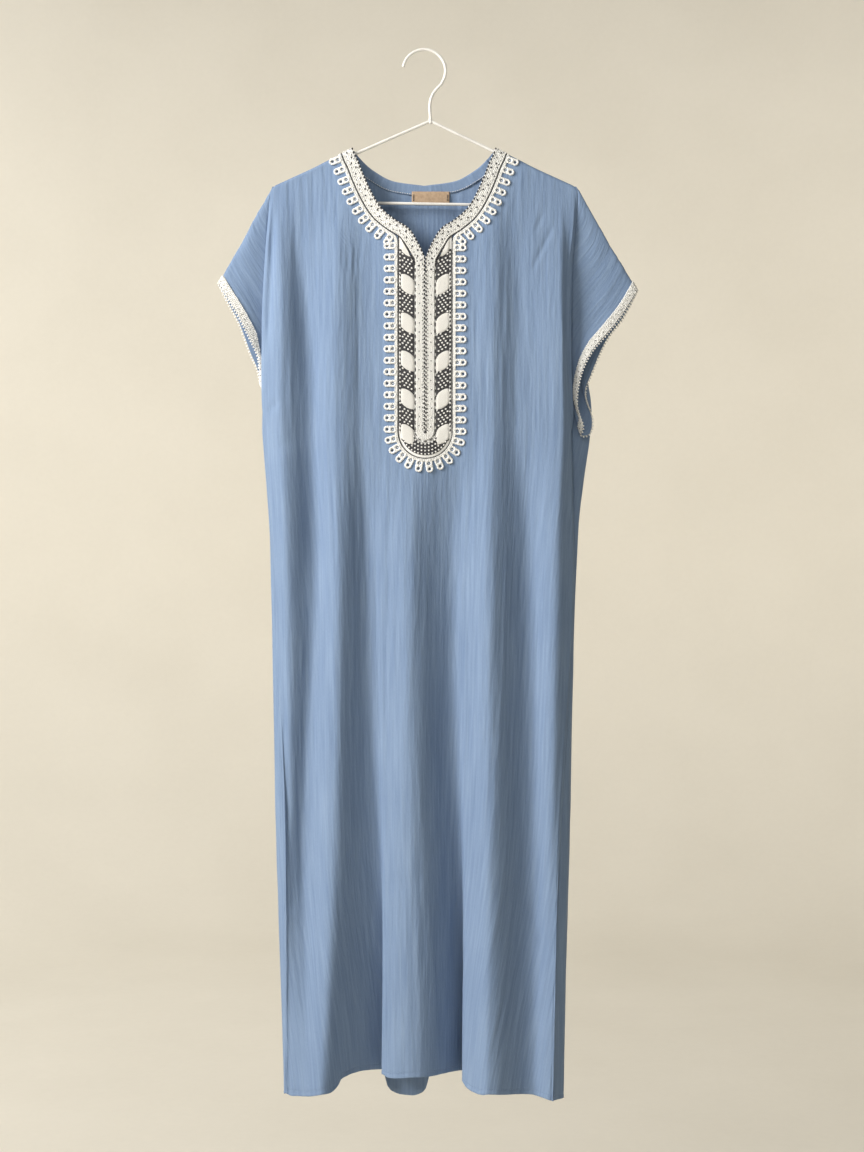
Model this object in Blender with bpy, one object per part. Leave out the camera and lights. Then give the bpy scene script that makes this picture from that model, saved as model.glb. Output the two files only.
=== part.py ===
"""A short-sleeved djellaba of crinkled blue cotton with white braid, hung on a coated wire hanger.

Metres, +Z up. The front faces -Y and the wearer's left is at +X. The origin is the inner top of
the hook, where a nail carries the hanger. Tables are in millimetres, and an "out" is a distance
towards the viewer, so it is -Y.
"""

import math
from collections import namedtuple

import bmesh
import bpy
from mathutils import Vector

MM = 0.001

# Cloth and trimmings, thicknesses and gaps in millimetres.
CLOTH_WALL = 1.4
TRIM_WALL = 1.0
SEAM_GAP = 0.35
TRIM_GAP = 0.45

# Heights of the cross-sections, in millimetres below the nail.
SLIT_END_Z = -535.0
WAIST_Z = -700.0
KNEE_Z = -1120.0
HEM_Z = -1440.0
STATIONS = (HEM_Z, KNEE_Z, WAIST_Z, SLIT_END_Z)

# The neckline and the slit under it share this centre line.
CENTRE_X = -1.0
SLIT_HALF = 0.6
SHOULDER_CENTRE_X = -2.8
NECK_HALF = 100.0

# The fold lines of the front from the wearer's right to the left, and the hem's height on each.
FrontLine = namedtuple(
    "FrontLine", "name chest_x chest_out waist_x waist_out knee_x knee_out hem_x hem_out hem_z"
)
FRONT_LINES = (
    FrontLine("seam_right", -226, 4, -216, 6, -196, 30, -193, 34, -1449),
    FrontLine("edge_right", -221, 15, -212, 16, -191, 29, -187, 38, -1451),
    FrontLine("ridge_1", -199, 26, -192, 30, -184, 27, -176, 46, -1449),
    FrontLine("valley_1", -164, 18, -156, 18, -171, 22, -164, 54, -1447),
    FrontLine("ridge_2", -120, 30, -120, 36, -126, 50, -141, 70, -1440),
    FrontLine("valley_2", -86, 23, -82, 18, -79, 18, -81, 5, -1425),
    FrontLine("fold_middle", -47, 27, -57, 26, -58, 32, -62, 40, -1421),
    FrontLine("ridge_3", -1, 28, -21, 38, -20, 50, -20, 60, -1420),
    FrontLine("valley_3", 46, 27, 36, 20, 35, 14, 34, 3, -1426),
    FrontLine("fold_left", 67, 28, 57, 28, 55, 32, 50, 50, -1430),
    FrontLine("ridge_4", 93, 32, 88, 44, 89, 62, 84, 94, -1433),
    FrontLine("valley_4", 128, 22, 139, 22, 144, 34, 145, 66, -1441),
    FrontLine("ridge_5", 188, 30, 180, 40, 172, 50, 162, 76, -1444),
    FrontLine("edge_left", 202, 18, 203, 22, 180, 50, 168, 79, -1445),
    FrontLine("seam_left", 204, 1, 208, 7, 184, 47, 173.5, 77, -1446),
)
SLIT_LINE = 7
LAST_LINE = len(FRONT_LINES) - 1
# The front's hem between two pairs of fold lines, as fold line numbers and heights: it turns up
# sharply behind the right fold's edge.
FRONT_HEM = (
    (4.0, -1440), (4.15, -1439.5), (4.3, -1433), (4.36, -1424), (4.58, -1420.5), (5.0, -1424),
    (6.0, -1421), (7.0, -1420), (8.0, -1426), (9.0, -1430), (9.4, -1435.5), (9.7, -1435), (10.0, -1433),
)
# The front's last stretch before each seam, in line with the back beyond it.
TURN_LENGTH = 3.0
# How each stretch between two fold lines is divided into columns, as fractions.
WIDE_STEPS = (0.0, 0.3, 0.7)
NARROW_STEPS = (0.0, 0.5)
NARROW_STRETCH = 30.0
# The rows of both panels under the chest, as fractions of the way down to the hem.
LOWER_FRACTIONS = (0, 0.025, 0.055, 0.1, 0.17, 0.25, 0.34, 0.43, 0.52, 0.61, 0.7, 0.79, 0.87, 0.94, 1)
# The rows of the front above the slit's end, as fractions of the way up to the shoulder, and
# the fraction at which the slit opens into the neckline.
SLIT_FRACTION = 0.56
UPPER_FRACTIONS = (
    0.087, 0.2, 0.32, 0.44, SLIT_FRACTION, 0.64, 0.72, 0.80, 0.87, 0.93, 0.965, 0.987, 0.997, 1.0
)

# The fold lines of the back, which wraps round both sides to the seams on the front.
BackLine = namedtuple(
    "BackLine", "name chest_x chest_out waist_x waist_out knee_x knee_out hem_x hem_out hem_z"
)
BACK_LINES = (
    BackLine("seam_right", -226, 4, -216, 6, -196, 30, -193, 34, -1449),
    BackLine("front_right", -229, -1, -218, 2, -203, 24, -197, 24, -1452),
    BackLine("side_right", -230, -6, -219, -4, -209, 8, -198, 6, -1453),
    BackLine("corner_right", -223, -14, -213, -13, -201, -10, -187, -10, -1457),
    BackLine("fold_1", -178, -19, -171, -20, -164, -20, -153, -20, -1460),
    BackLine("fold_2", -110, -14, -114, -13, -110, -11, -104, -9, -1459),
    BackLine("fold_3", -60, -20, -60, -20, -56, -21, -52, -20, -1466),
    BackLine("fold_4", -3, -15, -1, -14, -1, -11, -1, -9, -1462),
    BackLine("fold_5", 54, -20, 58, -21, 54, -21, 51, -21, -1465),
    BackLine("fold_6", 106, -14, 112, -14, 106, -12, 102, -10, -1460),
    BackLine("fold_7", 175, -19, 168, -20, 154, -20, 147, -20, -1463),
    BackLine("corner_left", 222, -17, 201, -14, 190, -11, 179, -10, -1460),
    BackLine("side_left", 231, -11, 211, -4, 200, 8, 190, 10, -1457),
    BackLine("front_left", 222, -7, 211.5, 3, 195, 36, 189, 52, -1449),
    BackLine("seam_left", 204, 1, 208, 7, 184, 47, 173.5, 77, -1446),
)
# The back's hem between its corners, as fold line numbers and heights: it hangs low under the
# middle fold alone, and ends above the front's hem beside it.
BACK_HEM = (
    (3.0, -1457), (4.0, -1449), (4.5, -1437), (5.0, -1428), (5.67, -1429), (6.0, -1461),
    (6.33, -1466), (6.67, -1466), (7.0, -1460), (7.33, -1430), (8.0, -1430), (8.5, -1438),
    (9.0, -1446), (10.0, -1457), (11.0, -1460),
)

# The top of the shoulders: distance from the centre, and height.
SHOULDER_CREST = ((0, -90), (100, -136.5), (128, -150), (155.5, -164), (188, -179), (212, -190))
# How far the cloth stands out at a depth below the crest, where it drapes off the hanger.
DRAPE = ((0, 0.8), (1, 2.8), (4, 4.2), (12, 5), (30, 7), (60, 9.5), (120, 13))
DRAPE_DEPTH = 220.0

# Over this height the neck's centre moves from the slit's centre line to the shoulders'.
NECK_SHIFT_BASE_Z = -300.0
NECK_SHIFT_HEIGHT = 160.0
# The front neckline, as half widths and heights from the shoulder down to the top of the slit.
NECKLINE = (
    (NECK_HALF, -136.5), (96, -148), (92, -156), (84, -177), (72, -204), (59, -225),
    (42, -240), (22, -254), (8.5, -276), (SLIT_HALF, -294),
)
# The back neckline, as half widths and heights.
BACK_NECKLINE = ((0, -186), (42, -180), (72, -165), (91, -148), (NECK_HALF, -136.5))

# The columns of the back between its corners: how stretches between fold lines are divided.
BACK_CORNERS = (3, 11)
BACK_SIDE_COLUMNS = (0.0, 1.0, 2.0, 3.0), (12.0, 13.0, 14.0)
BACK_STEPS = (0.5, 1.0)
# Finer steps under the neck, and beside its two corners.
BACK_NECK_STEPS = {
    5: (0.1, 0.33, 0.67, 1.0), 6: (0.33, 0.67, 1.0), 7: (0.33, 0.67, 1.0), 8: (0.33, 0.67, 0.93, 1.0)
}
BACK_UPPER_FRACTIONS = (0.08, 0.14, 0.24, 0.36, 0.48, 0.6, 0.72, 0.83, 0.91, 0.96, 0.987, 0.997, 1.0)
# How far inside the armhole's last point the back's corner column ends at the shoulder.
BACK_CORNER_INSET = 2.5

# The armholes: the seam, the turn beside it and the edge of the front's height field, by height.
ArmholeRow = namedtuple("ArmholeRow", "z seam_x seam_out turn_x turn_out edge_x")
ARMHOLE_RIGHT = (
    ArmholeRow(-535, -226, 4, -224.5, 6.6, -221),
    ArmholeRow(-495, -224.5, 2.5, -228.8, 9, -224),
    ArmholeRow(-455, -223.5, 2, -229.6, 9, -225),
    ArmholeRow(-385, -224, 2, -229.3, 9, -224),
    ArmholeRow(-300, -223, 3, -226, 8, -221),
    ArmholeRow(-250, -221.5, 4, -222, 6.5, -218),
    ArmholeRow(-210, -218.6, 4.6, -217, 5, -214),
    ArmholeRow(-196, -216, 3.9, -214.8, 4.1, -212.5),
    ArmholeRow(-191.2, -214.4, 2.4, -213, 2.6, -211),
    ArmholeRow(-190, -214, 0.8, -212.6, 0.8, -210.5),
)
ARMHOLE_LEFT = (
    ArmholeRow(-535, 204, 1, 203, 3.2, 202),
    ArmholeRow(-505, 202, 2, 205.8, 9, 201),
    ArmholeRow(-455, 200, 2, 205.3, 9, 200),
    ArmholeRow(-385, 200, 2, 205, 9, 199.5),
    ArmholeRow(-300, 203.5, 3, 206, 8, 201),
    ArmholeRow(-250, 208, 4, 209, 6.5, 205),
    ArmholeRow(-210, 211.5, 4.6, 210.5, 5, 207.5),
    ArmholeRow(-196, 211, 3.9, 209.8, 4.1, 207),
    ArmholeRow(-191.2, 209.4, 2.4, 208, 2.6, 206),
    ArmholeRow(-190, 209, 0.8, 207.6, 0.8, 205.5),
)
# The back's side of the armholes, and the fold where the back wraps beside them.
BackArmholeRow = namedtuple("BackArmholeRow", "z seam_x seam_out wrap_x wrap_out")
BACK_ARMHOLE_RIGHT = (
    BackArmholeRow(-535, -226.2, 3.6, -230, -6),
    BackArmholeRow(-498, -225, 1.9, -229, -8),
    BackArmholeRow(-478, -224.5, -6, -225, -10.5),
    BackArmholeRow(-455, -224.5, -8, -224, -11.5),
    BackArmholeRow(-385, -225, -9, -224, -12),
    BackArmholeRow(-300, -223.5, -8.5, -222, -11),
    BackArmholeRow(-250, -221.5, -7, -219, -8.5),
    BackArmholeRow(-210, -218.6, -4.8, -216.6, -5.5),
    BackArmholeRow(-196, -216, -3.9, -214.2, -4.3),
    BackArmholeRow(-191.2, -214.4, -2.4, -213, -2.6),
    BackArmholeRow(-190, -214, -0.8, -212.6, -0.8),
)
BACK_ARMHOLE_LEFT = (
    BackArmholeRow(-535, 204.3, 0.6, 231, -11),
    BackArmholeRow(-508, 202.4, 1.5, 233, -11),
    BackArmholeRow(-487, 207, -5, 232, -12),
    BackArmholeRow(-455, 215, -7.5, 227, -13),
    BackArmholeRow(-385, 218, -8, 221.5, -13),
    BackArmholeRow(-300, 213, -8, 212.5, -12),
    BackArmholeRow(-250, 211.5, -7, 209.5, -9),
    BackArmholeRow(-210, 211.5, -4.8, 209.8, -5.6),
    BackArmholeRow(-196, 211, -3.9, 209.4, -4.3),
    BackArmholeRow(-191.2, 209.4, -2.4, 208, -2.6),
    BackArmholeRow(-190, 209, -0.8, 207.6, -0.8),
)

# The sleeves, line by line round the tube: the height of its start on the armhole, and its cuff.
SleeveLine = namedtuple("SleeveLine", "face arm_z cuff_x cuff_out cuff_z")
SLEEVE_RIGHT = (
    SleeveLine("crest", -190.4, -290, 0, -325),
    SleeveLine("front", -194, -287, 3.5, -330),
    SleeveLine("front", -225, -277, 7, -346),
    SleeveLine("front", -300, -261, 10, -372),
    SleeveLine("front", -380, -245, 10, -404),
    SleeveLine("front", -440, -234, 5, -430),
    SleeveLine("front", -470, -232, 2, -453),
    SleeveLine("under", -480, -231.5, -2.5, -467),
    SleeveLine("back", -468, -233, -6.5, -458),
    SleeveLine("back", -440, -237, -8, -443),
    SleeveLine("back", -380, -247, -8.5, -420),
    SleeveLine("back", -300, -262, -9, -380),
    SleeveLine("back", -225, -278, -7, -350),
    SleeveLine("back", -194, -287, -3.5, -331),
)
SLEEVE_LEFT = (
    SleeveLine("crest", -190.4, 295, 0, -334),
    SleeveLine("front", -194, 291, 4, -342),
    SleeveLine("front", -225, 274, 7.5, -369),
    SleeveLine("front", -300, 252, 12, -397),
    SleeveLine("front", -360, 229.5, 15, -424),
    SleeveLine("front", -420, 215.5, 15, -455),
    SleeveLine("front", -465, 210.5, 13, -493),
    SleeveLine("front", -483, 219, 9, -524),
    SleeveLine("under", -486, 217, 5, -538),
    SleeveLine("back", -476, 229, 1, -535),
    SleeveLine("back", -468, 232, -1, -514),
    SleeveLine("back", -448, 222.5, -3, -480),
    SleeveLine("back", -400, 232, -5.5, -450),
    SleeveLine("back", -330, 252, -7, -405),
    SleeveLine("back", -225, 276, -7, -372),
    SleeveLine("back", -194, 291, -4, -343),
)
SLEEVE_STEPS = (0.0, 0.25, 0.5, 0.75, 1.0)
SLEEVE_EASE = 1.6
# The armhole seam's gap, narrow over the shoulder and wider in the fold below it.
SHOULDER_GAP = 0.5
UNDERARM_GAP = 1.05
UNDERARM_GAP_Z = -235.0
UNDERARM_OUT = 1.0
# A sleeve's lines start this many gaps towards the middle of its tube.
SLEEVE_INSET_GAPS = 1.5
CREST_GAPS = 2.0
LINE_PARTS = 2
CUFF_BRAID_WIDTH = 13.0
CUFF_BRAID_GAP = 0.8
CUFF_BRAID_ROWS = (1.0, 0.5, 0.0)
CUFF_BRAID_MAX_SHARE = 0.45
# The braid stands off more round the tight turn under the arm, over this height.
UNDER_TURN_GAP = 1.1
UNDER_TURN_HEIGHT = 40.0

# The white braid round the neck and down both edges of the slit.
NECK_BRAID_WIDTH = 17.0
SLIT_BRAID_WIDTH = 12.6
FOOT_STEPS = 10
BRAID_WALL = 1.4
# Steps down the neckline for what lies beside it, as fractions of the whole neck edge.
NECK_STEPS = (
    1.0, 0.997, 0.987, 0.965, 0.93, 0.9, 0.87, 0.835, 0.8, 0.76, 0.72, 0.68, 0.64, 0.6, SLIT_FRACTION
)
SLIT_STEPS = 10
# The steps over which the braid narrows, and the first that runs straight down the slit.
NARROWING_STEPS = (10, 14)
STRAIGHT_STEP = 13
# The way across the braid follows the shoulder's top at first, over this length.
SHOULDER_BLEND = 45.0
SHOULDER_RUN = (28.0, -13.5)

# The embroidered placket: a long field on each side of the braid, joined round its foot.
FIELD_INNER = 14.0
FIELD_OUTER = 37.0
FIELD_TOP_INNER_Z = -287.0
FIELD_TOP_OUTER_Z = -271.0
OVAL_COUNT = 6
OVAL_PITCH = 53.5
OVAL_FIRST_Z = -283.0
OVAL_LENGTH = 28.0
OVAL_RAISE = 1.2
OVAL_MARGIN = 2.4
# Columns across the field, and rows down each oval from its centre.
FIELD_SHARES = (0.0, 0.13, 0.5, 0.87, 1.0)
OVAL_ROWS = (14.0, 10.5, 0.0, -10.5, -14.0)
FIELD_ROW_MARGIN = 4.0

# The looped edging that frames the embroidery.
EDGING_WIDTH = 3.0
EDGING_NECK_OFFSET = 18.2
EDGING_PLACKET_OFFSET = 37.6
LOOP_LENGTH = 14.5
LOOP_WIDTH = 11.0
LOOP_PITCH = 16.0
# A loop's outline past the band: how far out, and its half width, as shares.
LOOP_OUTLINE = ((0.65, 0.46), (1.0, 0.22))
# The corner between the edging's neck and placket stretches: how near and how far down.
EDGING_CORNER_REACH = 3.0
EDGING_CORNER_DROP = 9.0
EDGING_FOOT_STEPS = 16
# The stretch of path that sets the band's direction, and the gap under the shoulder's top.
EDGING_BLEND = 3.0
EDGING_CREST_GAP = 0.6

# The back neck: a facing inside and a bare woven label on it.
FACING_WIDTH = 15.0
FACING_HALF = 88.0
FACING_WALL = 1.0
LABEL_WIDTH = 53.0
LABEL_HEIGHT = 17.0
LABEL_X = 6.5
LABEL_TOP_Z = -194.5
LABEL_WALL = 0.8
FACING_STEPS = 14
FACING_TOP_GAP = 0.5

# The wire hanger: its hook is an arc over a stem, and its frame a bent triangle.
WIRE_RADIUS = 2.2
WIRE_SIDES_RESOLUTION = 2
HOOK_RADIUS = 30.0
HOOK_CENTRE = (-2.5, -27.8)
HOOK_TIP_ANGLE = 170.0
HOOK_END_ANGLE = -22.0
HOOK_ARC_STEPS = 15
HOOK_STEM = ((21.5, -46.5), (15.5, -52.5), (10, -59.5), (6.4, -68), (5.2, -78), (5.8, -88), (6.2, -95.9))
APEX = (6.2, -98.0)
ARM_ANGLE = 24.6
HANGER_TILT = -1.0
HANGER_HALF = 201.0
BAR_DROP = 116.2
APEX_BEND = 6.0
CORNER_BEND = 9.0
BEND_STEPS = 4

BLUE_CLOTH = (0.29, 0.41, 0.60)
WHITE_BRAID = (0.82, 0.80, 0.75)
CHARCOAL_LATTICE = (0.35, 0.35, 0.36)
TAN_LABEL = (0.55, 0.42, 0.30)
WHITE_WIRE = (0.85, 0.84, 0.81)


def clear_scene():
    """Remove every object that the file holds."""
    for obj in list(bpy.data.objects):
        bpy.data.objects.remove(obj, do_unlink=True)


def make_material(name, colour, roughness, metallic=0.0):
    """A Principled material of one colour."""
    material = bpy.data.materials.new(name)
    material.use_nodes = True
    shader = material.node_tree.nodes["Principled BSDF"]
    shader.inputs["Base Color"].default_value = (*colour, 1.0)
    shader.inputs["Roughness"].default_value = roughness
    shader.inputs["Metallic"].default_value = metallic
    return material


def lerp(start, end, fraction):
    """The value that lies a fraction of the way from start to end."""
    return start + (end - start) * fraction


def smooth(fraction):
    """A soft step from 0 to 1."""
    fraction = min(1.0, max(0.0, fraction))
    return fraction * fraction * (3.0 - 2.0 * fraction)


def through(knots, values, at):
    """A smooth curve through rising knots that turns only at the knots."""
    if at <= knots[0]:
        return values[0]
    if at >= knots[-1]:
        return values[-1]
    index = max(i for i in range(len(knots) - 1) if knots[i] <= at)
    steps = [knots[i + 1] - knots[i] for i in range(len(knots) - 1)]
    slopes = [(values[i + 1] - values[i]) / steps[i] for i in range(len(steps))]

    def tangent(i):
        if i == 0 or i == len(knots) - 1:
            return slopes[min(i, len(slopes) - 1)]
        before, after = slopes[i - 1], slopes[i]
        if before * after <= 0.0:
            return 0.0
        return 2.0 * before * after / (before + after)

    width = steps[index]
    t = (at - knots[index]) / width
    start, end = values[index], values[index + 1]
    bend_start = tangent(index) * width
    bend_end = tangent(index + 1) * width
    return (
        start * (2 * t**3 - 3 * t**2 + 1)
        + bend_start * (t**3 - 2 * t**2 + t)
        + end * (3 * t**2 - 2 * t**3)
        + bend_end * (t**3 - t**2)
    )


def column_of(rows, name):
    """One named column of a table."""
    return [getattr(row, name) for row in rows]


def at_height(rows, name, z):
    """A table's column at a height, for tables whose rows rise."""
    return through(column_of(rows, "z"), column_of(rows, name), z)


def line_at(line, z):
    """Where a fold line runs at a height below the chest: x and out."""
    xs = (line.hem_x, line.knee_x, line.waist_x, line.chest_x)
    outs = (line.hem_out, line.knee_out, line.waist_out, line.chest_out)
    return through(STATIONS, xs, z), through(STATIONS, outs, z)


def crest(x):
    """The height of the shoulder's top at x."""
    half = abs(x - SHOULDER_CENTRE_X)
    return through([row[0] for row in SHOULDER_CREST], [row[1] for row in SHOULDER_CREST], half)


def drape(x, z, chest_out):
    """How far a panel stands out above the chest, from the hanger to its full folds."""
    depth = max(0.0, crest(x) - z)
    off_hanger = through([row[0] for row in DRAPE], [row[1] for row in DRAPE], depth)
    return lerp(off_hanger, chest_out, smooth(depth / DRAPE_DEPTH))


def front_out(x, z):
    """How far the front's outer face stands towards the viewer at a place on it."""
    inner = FRONT_LINES[1:-1]
    if z <= SLIT_END_Z:
        points = [line_at(line, z) for line in inner]
        return through([p[0] for p in points], [p[1] for p in points], x)
    xs = [line.chest_x for line in inner]
    xs[0] = at_height(ARMHOLE_RIGHT, "edge_x", z)
    xs[-1] = at_height(ARMHOLE_LEFT, "edge_x", z)
    return drape(x, z, through(xs, column_of(inner, "chest_out"), x))


def place(x, out, z):
    """A point in metres."""
    return Vector((x * MM, -out * MM, z * MM))


def on_front(x, z, height):
    """A point above the front's outer face, moved out along the cloth's normal."""
    step = 1.0
    across = (front_out(x + step, z) - front_out(x - step, z)) / (2.0 * step)
    along = (front_out(x, z + step) - front_out(x, z - step)) / (2.0 * step)
    length = math.sqrt(1.0 + across**2 + along**2)
    out = front_out(x, z) + height / length
    return place(x - across * height / length, out, z - along * height / length)


def sheet_object(name, faces, wall, material):
    """A wall from faces given by their corner points, with its thickness behind them."""
    bm = bmesh.new()
    corners = {}
    for face in faces:
        verts = []
        for point in face:
            key = tuple(round(value, 7) for value in point)
            if key not in corners:
                corners[key] = bm.verts.new(point)
            if corners[key] not in verts:
                verts.append(corners[key])
        if len(verts) > 2:
            bm.faces.new(verts)
    mesh = bpy.data.meshes.new(name)
    bm.to_mesh(mesh)
    bm.free()
    mesh.materials.append(material)
    mesh.shade_smooth()
    obj = bpy.data.objects.new(name, mesh)
    bpy.context.collection.objects.link(obj)
    solid = obj.modifiers.new("wall", "SOLIDIFY")
    solid.thickness = wall * MM
    solid.offset = -1.0
    solid.use_rim = True
    return obj


def grid_faces(rows, skip=(), flip=False):
    """The four-sided faces between rows of points; skip holds pairs of row and column."""
    faces = []
    for i in range(len(rows) - 1):
        for j in range(len(rows[i]) - 1):
            if (i, j) in skip:
                continue
            face = [rows[i][j], rows[i][j + 1], rows[i + 1][j + 1], rows[i + 1][j]]
            faces.append(face[::-1] if flip else face)
    return faces


def front_columns(first, last):
    """Where the front's columns lie between two fold lines, as line numbers with fractions."""
    columns = []
    for index in range(first, last):
        stretch = FRONT_LINES[index + 1].chest_x - FRONT_LINES[index].chest_x
        steps = NARROW_STEPS if stretch < NARROW_STRETCH else WIDE_STEPS
        columns += [index + step for step in steps]
    return columns + [float(last)]


def column_x(column, z):
    """Where a column runs across the front at a height below the chest."""
    index = min(int(column), len(FRONT_LINES) - 2)
    here = line_at(FRONT_LINES[index], z)[0]
    there = line_at(FRONT_LINES[index + 1], z)[0]
    return lerp(here, there, column - index)


def hem_z(lines, column):
    """The hem's height on a column."""
    index = min(int(column), len(lines) - 2)
    return lerp(lines[index].hem_z, lines[index + 1].hem_z, column - index)


def shaped_hem_z(lines, hem, column):
    """The hem's height on a column, from the hem's own knots where it has them."""
    knots = [knot for knot, _ in hem]
    if not knots[0] < column < knots[-1]:
        return hem_z(lines, column)
    index = max(i for i, knot in enumerate(knots) if knot <= column)
    share = (column - knots[index]) / (knots[index + 1] - knots[index])
    return lerp(hem[index][1], hem[index + 1][1], share)


def seam_and_turn(column, z):
    """A seam's point on the front, and the turn beside it in line with the back: x, out pairs."""
    first = column == 0.0
    seam = Vector(line_at(FRONT_LINES[int(column)], z))
    beyond = Vector(line_at(BACK_LINES[1 if first else -2], z))
    turn = seam - (beyond - seam).normalized() * TURN_LENGTH
    return seam, turn


def front_lower_rows(left_half, right_half):
    """The rows of the front from the hem up to the end of the slit."""
    rows = []
    for fraction in LOWER_FRACTIONS[::-1]:
        row = []
        for column in left_half + right_half:
            z = lerp(SLIT_END_Z, shaped_hem_z(FRONT_LINES, FRONT_HEM, column), fraction)
            x = column_x(column, z)
            row.append([x, front_out(x, z), z])
        for column in (0.0, float(LAST_LINE)):
            z = lerp(SLIT_END_Z, shaped_hem_z(FRONT_LINES, FRONT_HEM, column), fraction)
            seam, turn = seam_and_turn(column, z)
            ends = [[*seam, z], [*turn, z]]
            row = ends + row if column == 0.0 else row + ends[::-1]
        middle = 2 + len(left_half)
        row[middle - 1][0] -= SLIT_HALF
        row[middle][0] += SLIT_HALF
        rows.append([place(*point) for point in row])
    return rows


def neck_centre(z):
    """The x about which the neck lies at a height."""
    share = smooth((z - NECK_SHIFT_BASE_Z) / NECK_SHIFT_HEIGHT)
    return lerp(CENTRE_X, SHOULDER_CENTRE_X, share)


def neckline_point(fraction):
    """The half width and height on the slit and neckline, from the slit's end up."""
    if fraction <= SLIT_FRACTION:
        return SLIT_HALF, lerp(SLIT_END_Z, NECKLINE[-1][1], fraction / SLIT_FRACTION)
    points = [Vector(point) for point in NECKLINE[::-1]]
    lengths = [0.0]
    for before, after in zip(points, points[1:]):
        lengths.append(lengths[-1] + (after - before).length)
    along = (fraction - SLIT_FRACTION) / (1.0 - SLIT_FRACTION) * lengths[-1]
    return (
        through(lengths, [point.x for point in points], along),
        through(lengths, [point.y for point in points], along),
    )


def half_row(fraction, columns, side):
    """One row of half the front above the slit's end, from the armhole to the neck."""
    table = ARMHOLE_RIGHT if side < 0 else ARMHOLE_LEFT
    outer_z = lerp(SLIT_END_Z, table[-1].z, fraction)
    half, inner_z = neckline_point(fraction)
    inner_x = neck_centre(inner_z) + side * half
    edge_x = at_height(table, "edge_x", outer_z)
    row = [
        (at_height(table, name + "_x", outer_z), at_height(table, name + "_out", outer_z), outer_z)
        for name in ("seam", "turn")
    ]
    edge_column = 1.0 if side < 0 else LAST_LINE - 1.0
    start = column_x(edge_column, SLIT_END_Z)
    end = column_x(SLIT_LINE, SLIT_END_Z)
    for column in columns:
        share = (column_x(column, SLIT_END_Z) - start) / (end - start)
        x = lerp(edge_x, inner_x, share)
        z = lerp(outer_z, inner_z, share)
        row.append((x, front_out(x, z), min(z, crest(x))))
    return [place(*point) for point in row]


def build_front(cloth):
    """The front panel, with its neckline and its open slit."""
    left_half = front_columns(1, SLIT_LINE)
    right_half = front_columns(SLIT_LINE, LAST_LINE - 1)
    rows = front_lower_rows(left_half, right_half)
    lower_count = len(rows)
    for fraction in UPPER_FRACTIONS:
        near = half_row(fraction, left_half, -1)
        far = half_row(fraction, right_half[::-1], 1)
        rows.append(near + far[::-1])
    slit_column = 1 + len(left_half)
    skip = [(i, slit_column) for i in range(lower_count - 1, len(rows) - 1)]
    return sheet_object("front", grid_faces(rows, skip), CLOTH_WALL, cloth)


def back_columns():
    """Where the back's columns lie, as line numbers with fractions."""
    columns = list(BACK_SIDE_COLUMNS[0])
    for index in range(*BACK_CORNERS):
        columns += [index + step for step in BACK_NECK_STEPS.get(index, BACK_STEPS)]
    return columns + list(BACK_SIDE_COLUMNS[1])


def back_point(column, z):
    """A point of the back's cross-section at a height below the chest: x and out."""
    points = [line_at(line, z) for line in BACK_LINES]
    knots = list(range(len(points)))
    x = through(knots, [point[0] for point in points], column)
    out = through(knots, [point[1] for point in points], column)
    if column in (0.0, len(BACK_LINES) - 1.0):
        beside = points[1] if column == 0.0 else points[-2]
        reach = math.hypot(beside[0] - x, beside[1] - out)
        x = lerp(x, beside[0], SEAM_GAP / reach)
        out = lerp(out, beside[1], SEAM_GAP / reach)
    return x, out


def back_top(x):
    """The height of the back's upper edge at x: the shoulder or the neckline."""
    half = abs(x - SHOULDER_CENTRE_X)
    if half >= NECK_HALF:
        return crest(x)
    return through([row[0] for row in BACK_NECKLINE], [row[1] for row in BACK_NECKLINE], half)


def back_top_ends():
    """Where the back's corner columns end at the shoulders."""
    return (
        BACK_ARMHOLE_RIGHT[-1].wrap_x + BACK_CORNER_INSET,
        BACK_ARMHOLE_LEFT[-1].wrap_x - BACK_CORNER_INSET,
    )


def back_upper_row(fraction, columns):
    """One row of the back between the chest and its upper edge."""
    first, last = BACK_CORNERS
    chest_first = back_point(first, SLIT_END_Z)[0]
    chest_last = back_point(last, SLIT_END_Z)[0]
    row = {}
    for column in columns:
        if not first <= column <= last:
            continue
        chest_x, chest_out = back_point(column, SLIT_END_Z)
        share = (chest_x - chest_first) / (chest_last - chest_first)
        top_x = lerp(*back_top_ends(), share)
        x = lerp(chest_x, top_x, smooth(fraction) if column in BACK_CORNERS else fraction)
        z = lerp(SLIT_END_Z, back_top(top_x), fraction)
        row[column] = (x, -drape(x, z, -chest_out), z)
    for table, outer, wrap, beside in (
        (BACK_ARMHOLE_RIGHT, (0.0, 1.0), 2.0, 3.0),
        (BACK_ARMHOLE_LEFT, (14.0, 13.0), 12.0, 11.0),
    ):
        z = lerp(SLIT_END_Z, table[-1].z, fraction)
        seam = (at_height(table, "seam_x", z), at_height(table, "seam_out", z))
        fold = (at_height(table, "wrap_x", z), at_height(table, "wrap_out", z))
        row[outer[0]] = (*seam, z)
        row[outer[1]] = (lerp(seam[0], fold[0], 0.5), lerp(seam[1], fold[1], 0.5), z)
        row[wrap] = (*fold, lerp(z, row[beside][2], 0.2))
    return [place(*row[column]) for column in columns]


def build_back(cloth):
    """The back panel, whose sides wrap round to the seams."""
    columns = back_columns()
    rows = []
    for fraction in LOWER_FRACTIONS[::-1]:
        row = []
        for column in columns:
            z = lerp(SLIT_END_Z, shaped_hem_z(BACK_LINES, BACK_HEM, column), fraction)
            row.append(place(*back_point(column, z), z))
        rows.append(row)
    for fraction in BACK_UPPER_FRACTIONS:
        rows.append(back_upper_row(fraction, columns))
    return sheet_object("back", grid_faces(rows, flip=True), CLOTH_WALL, cloth)


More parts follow.
